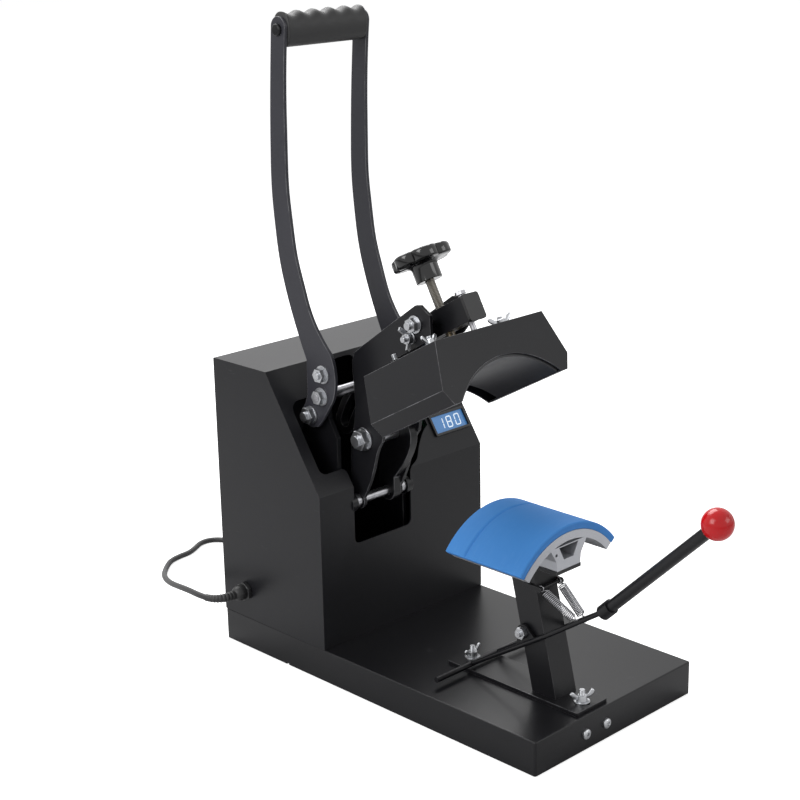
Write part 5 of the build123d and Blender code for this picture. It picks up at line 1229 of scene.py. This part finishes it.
def grip_mesh():
    """A moulded grip with five finger hollows along its top and rounded ends."""
    along, count = 110, 48
    fingers, hollow_depth, end_ease = 5, 3.4, 2.2
    finger = 2 * grip_half / fingers
    rings = []
    for i in range(along + 1):
        x = -grip_half + 2 * grip_half * i / along
        end = min(1.0, (grip_half - abs(x)) / end_ease)
        shrink = 1.0 - 0.09 * (1.0 - sqrt(max(0.0, 1 - (1 - end) ** 2)))
        hollow = hollow_depth * (0.5 + 0.5 * cos(2 * pi * x / finger)) ** 0.75
        ring = []
        for j in range(count):
            turn = 2 * pi * j / count
            c, s = cos(turn), sin(turn)
            y = grip_deep * (abs(c) ** 0.85) * (1 if c >= 0 else -1) * shrink
            z = grip_high * (abs(s) ** 0.9) * (1 if s >= 0 else -1) * shrink
            if s > 0:
                z -= hollow * s**0.6 * (1 if abs(x) < grip_half - 1 else 0.6)
            ring.append(to_metres(mid_x + x, grip_middle[0] + y, grip_middle[1] + z))
        rings.append(ring)
    return stacked("grip", [ring[::-1] for ring in rings], 45.0)


stand_in("moulded_grip", grip_mesh(), "handle_grip")

# ---------------------------------------------------------------- ball
ball_spot = (-132.3, 264.0)
joint_spot = (-10.0, 145.0)
rod_way = Vector((0.0, ball_spot[0] - joint_spot[0], ball_spot[1] - joint_spot[1])).normalized()
ball_place = frame_at(to_metres(mid_x, *ball_spot), (1, 0, 0), rod_way)
ball_radius = 15.0
ball_profile = [(0.0, 3.9), (6.05, 3.9), (6.05, -13.3), (6.4, -13.75)]
ball_profile += [(ball_radius * sin(radians(a)), -ball_radius * cos(radians(a))) for a in range(27, 175, 4)]
ball_profile += [(1.1, 14.9), (0.8, 14.5), (0.0, 14.4)]
ball_mesh = turned_shape("glossy_ball", ball_profile, 64, 40.0)
stand_in("glossy_ball", moved_mesh(ball_mesh, ball_place), "lever_ball")

# ---------------------------------------------------------------- lever springs
spring_high = (59.5, 151.0)
spring_low_row = 20.5
spring_high_half, spring_low_half = 13.4, 5.2
spring_hook, wire_pitch = 6.0, 1.75
lever_bend = (48.0, 106.9)
share = (lever_bend[0] - spring_low_row) / (lever_bend[0] - joint_spot[0])
spring_low_z = lever_bend[1] + (joint_spot[1] - lever_bend[1]) * share
spring_places = []
for side in both_sides:
    low = to_metres(mid_x + side * spring_low_half, spring_low_row, spring_low_z)
    high = to_metres(mid_x + side * spring_high_half, *spring_high)
    spring_run = (high - low).length / mm
    spring_places.append(frame_at(low, (0, 0, 1), high - low))
spring_mesh = laid_out(
    "return_springs",
    springs,
    spring_places,
    finishes["bright_steel"],
    Radius=3.85 * mm,
    Wire=0.62 * mm,
    Length=spring_run * mm,
    Hook=spring_hook * mm,
    Turns=(spring_run - 2 * spring_hook) / wire_pitch,
    Eye=2.8 * mm,
)
return_springs = placed("return_springs", spring_mesh)
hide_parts("lever_springs")
tuple(to_metres(mid_x, spring_high[0] - 2.0, spring_high[1] - 2.0))
tuple(to_metres(mid_x, spring_low_row + 2.0, spring_low_z + 2.0))
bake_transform(return_springs)

# ---------------------------------------------------------------- display and marks
display_middle = (89.3, 34.2)


def flat_bar(corners, low, high):
    """A thin raised mark through corner points of the slope, in millimetres."""
    verts = [slope_place @ (Vector((x, y, level)) * mm) for level in (low, high) for x, y in corners]
    n = len(corners)
    faces = [list(range(n))[::-1], list(range(n, 2 * n))]
    faces += [(i, (i + 1) % n, n + (i + 1) % n, n + i) for i in range(n)]
    return mesh_from("bar", verts, faces, round_all=False)


lit_segments = {"0": "abcdef", "1": "bc", "8": "abcdefg"}


def digit(symbol, x, y, high, wide, stroke):
    """One seven-segment digit, leaning a little, its lower left corner at x, y."""
    half = high / 2
    lean, low, top = 0.10, 0.02, 0.14

    def bar(x0, y0, x1, y1):
        """A pointed stroke from one corner of the digit to the next."""
        along = Vector((x1 - x0, y1 - y0)).normalized()
        across = Vector((-along.y, along.x)) * stroke / 2
        a = Vector((x0, y0)) + along * stroke * 0.55
        b = Vector((x1, y1)) - along * stroke * 0.55
        tip_a, tip_b = a - along * stroke / 2, b + along * stroke / 2
        spots = [tip_a, a - across, b - across, tip_b, b + across, a + across]
        return flat_bar([(x + p.x + p.y * lean, y + p.y) for p in spots], low, top)

    lines = {
        "a": (0, high, wide, high),
        "b": (wide, half, wide, high),
        "c": (wide, 0, wide, half),
        "d": (0, 0, wide, 0),
        "e": (0, 0, 0, half),
        "f": (0, half, 0, high),
        "g": (0, half, wide, half),
    }
    return [bar(*lines[name]) for name in lit_segments[symbol]]


digit_high, digit_wide, digit_stroke, digit_pitch = 12.0, 6.6, 1.3, 12.6
digit_x, digit_y = display_middle[0] - 15.6, display_middle[1] - digit_high / 2
digit_bars = []
for i, symbol in enumerate("180"):
    digit_bars += digit(symbol, digit_x + i * digit_pitch, digit_y, digit_high, digit_wide, digit_stroke)
new_piece("display_digits", joined("display_digits", digit_bars), "lcd_panel", digit_finish)

key_row, key_top, mark_rise = 62.0, 1.75, 0.12
key_marks = {
    "key_down": (-20.0, [(-1.9, 1.1), (0.0, -1.7), (1.9, 1.1)]),
    "key_set": (0.0, [(-1.6, -0.5), (1.6, -0.5), (1.6, 0.5), (-1.6, 0.5)]),
    "key_up": (20.0, [(-1.9, -1.1), (1.9, -1.1), (0.0, 1.7)]),
}
for key, (shift, corners) in key_marks.items():
    spots = [(display_middle[0] + shift + x, key_row + y) for x, y in corners]
    mark = joined(key + "_mark", [flat_bar(spots, key_top, key_top + mark_rise)])
    new_piece(key + "_mark", mark, key, finishes["black_plastic"])

# ---------------------------------------------------------------- room and light
floor_reach = 9
floor_corners = [(x * floor_reach, y * floor_reach, 0) for x, y in square]
floor_mesh = mesh_from("floor", floor_corners, [(0, 1, 2, 3)], round_all=False)
floor = placed("floor", floor_mesh)
paper = Finish("pale_paper")
grain = paper.noise(paper.place(), 40.0, 3.0)
seen = paper.part("ShaderNodeLightPath", out="Is Camera Ray")
shade = paper.mix(grain, (0.80, 0.80, 0.805), (0.83, 0.83, 0.835))
card = paper.part("ShaderNodeBsdfDiffuse", None, {"Color": shade})
glow = paper.part("ShaderNodeEmission", None, {"Color": (1.0, 1.0, 1.0), "Strength": seen * 0.76})
both = paper.part("ShaderNodeAddShader", None, {0: card, 1: glow})
paper.part("ShaderNodeOutputMaterial", None, {"Surface": both})
floor_mesh.materials.append(paper.material)

world = bpy.data.worlds.new("studio")
bpy.context.scene.world = world
world.use_nodes = True
sky = Bench()
sky.tree = world.node_tree
sky.tree.nodes.clear()
rays = ("Is Camera Ray", "Is Glossy Ray", "Is Transmission Ray")
to_eye, glossy, through = (sky.part("ShaderNodeLightPath", out=ray) for ray in rays)
# what is seen or mirrored is white, and what lights the machine is dimmer
reach = {"Value": to_eye.most(glossy).most(through), "To Min": 0.32, "To Max": 1.0}
level = sky.part("ShaderNodeMapRange", None, reach)
shine = sky.part("ShaderNodeBackground", None, {"Color": (1.0, 1.0, 1.0), "Strength": level})
sky.part("ShaderNodeOutputWorld", None, {"Surface": shine})


def soft_lamp(name, place, aim_at, size, power):
    """A rectangular lamp at a place in metres, turned to what it lights."""
    data = bpy.data.lights.new(name, "AREA")
    set_up(data, shape="RECTANGLE", size=size[0], size_y=size[1], energy=power)
    turn = (Vector(aim_at) - Vector(place)).to_track_quat("-Z", "Y").to_euler()
    placed(name, data, location=place, rotation_euler=turn)


soft_lamp("key_box", (-2.0, 0.1, 1.5), (0, 0, 0.3), (1.2, 1.2), 25)
soft_lamp("fill_box", (0.9, -2.0, 1.3), (0, 0, 0.3), (1.2, 0.9), 9)
soft_lamp("top_box", (0.5, 1.3, 1.9), (0, 0, 0.2), (1.8, 1.2), 46)

bpy.context.scene.view_settings.view_transform = "Standard"
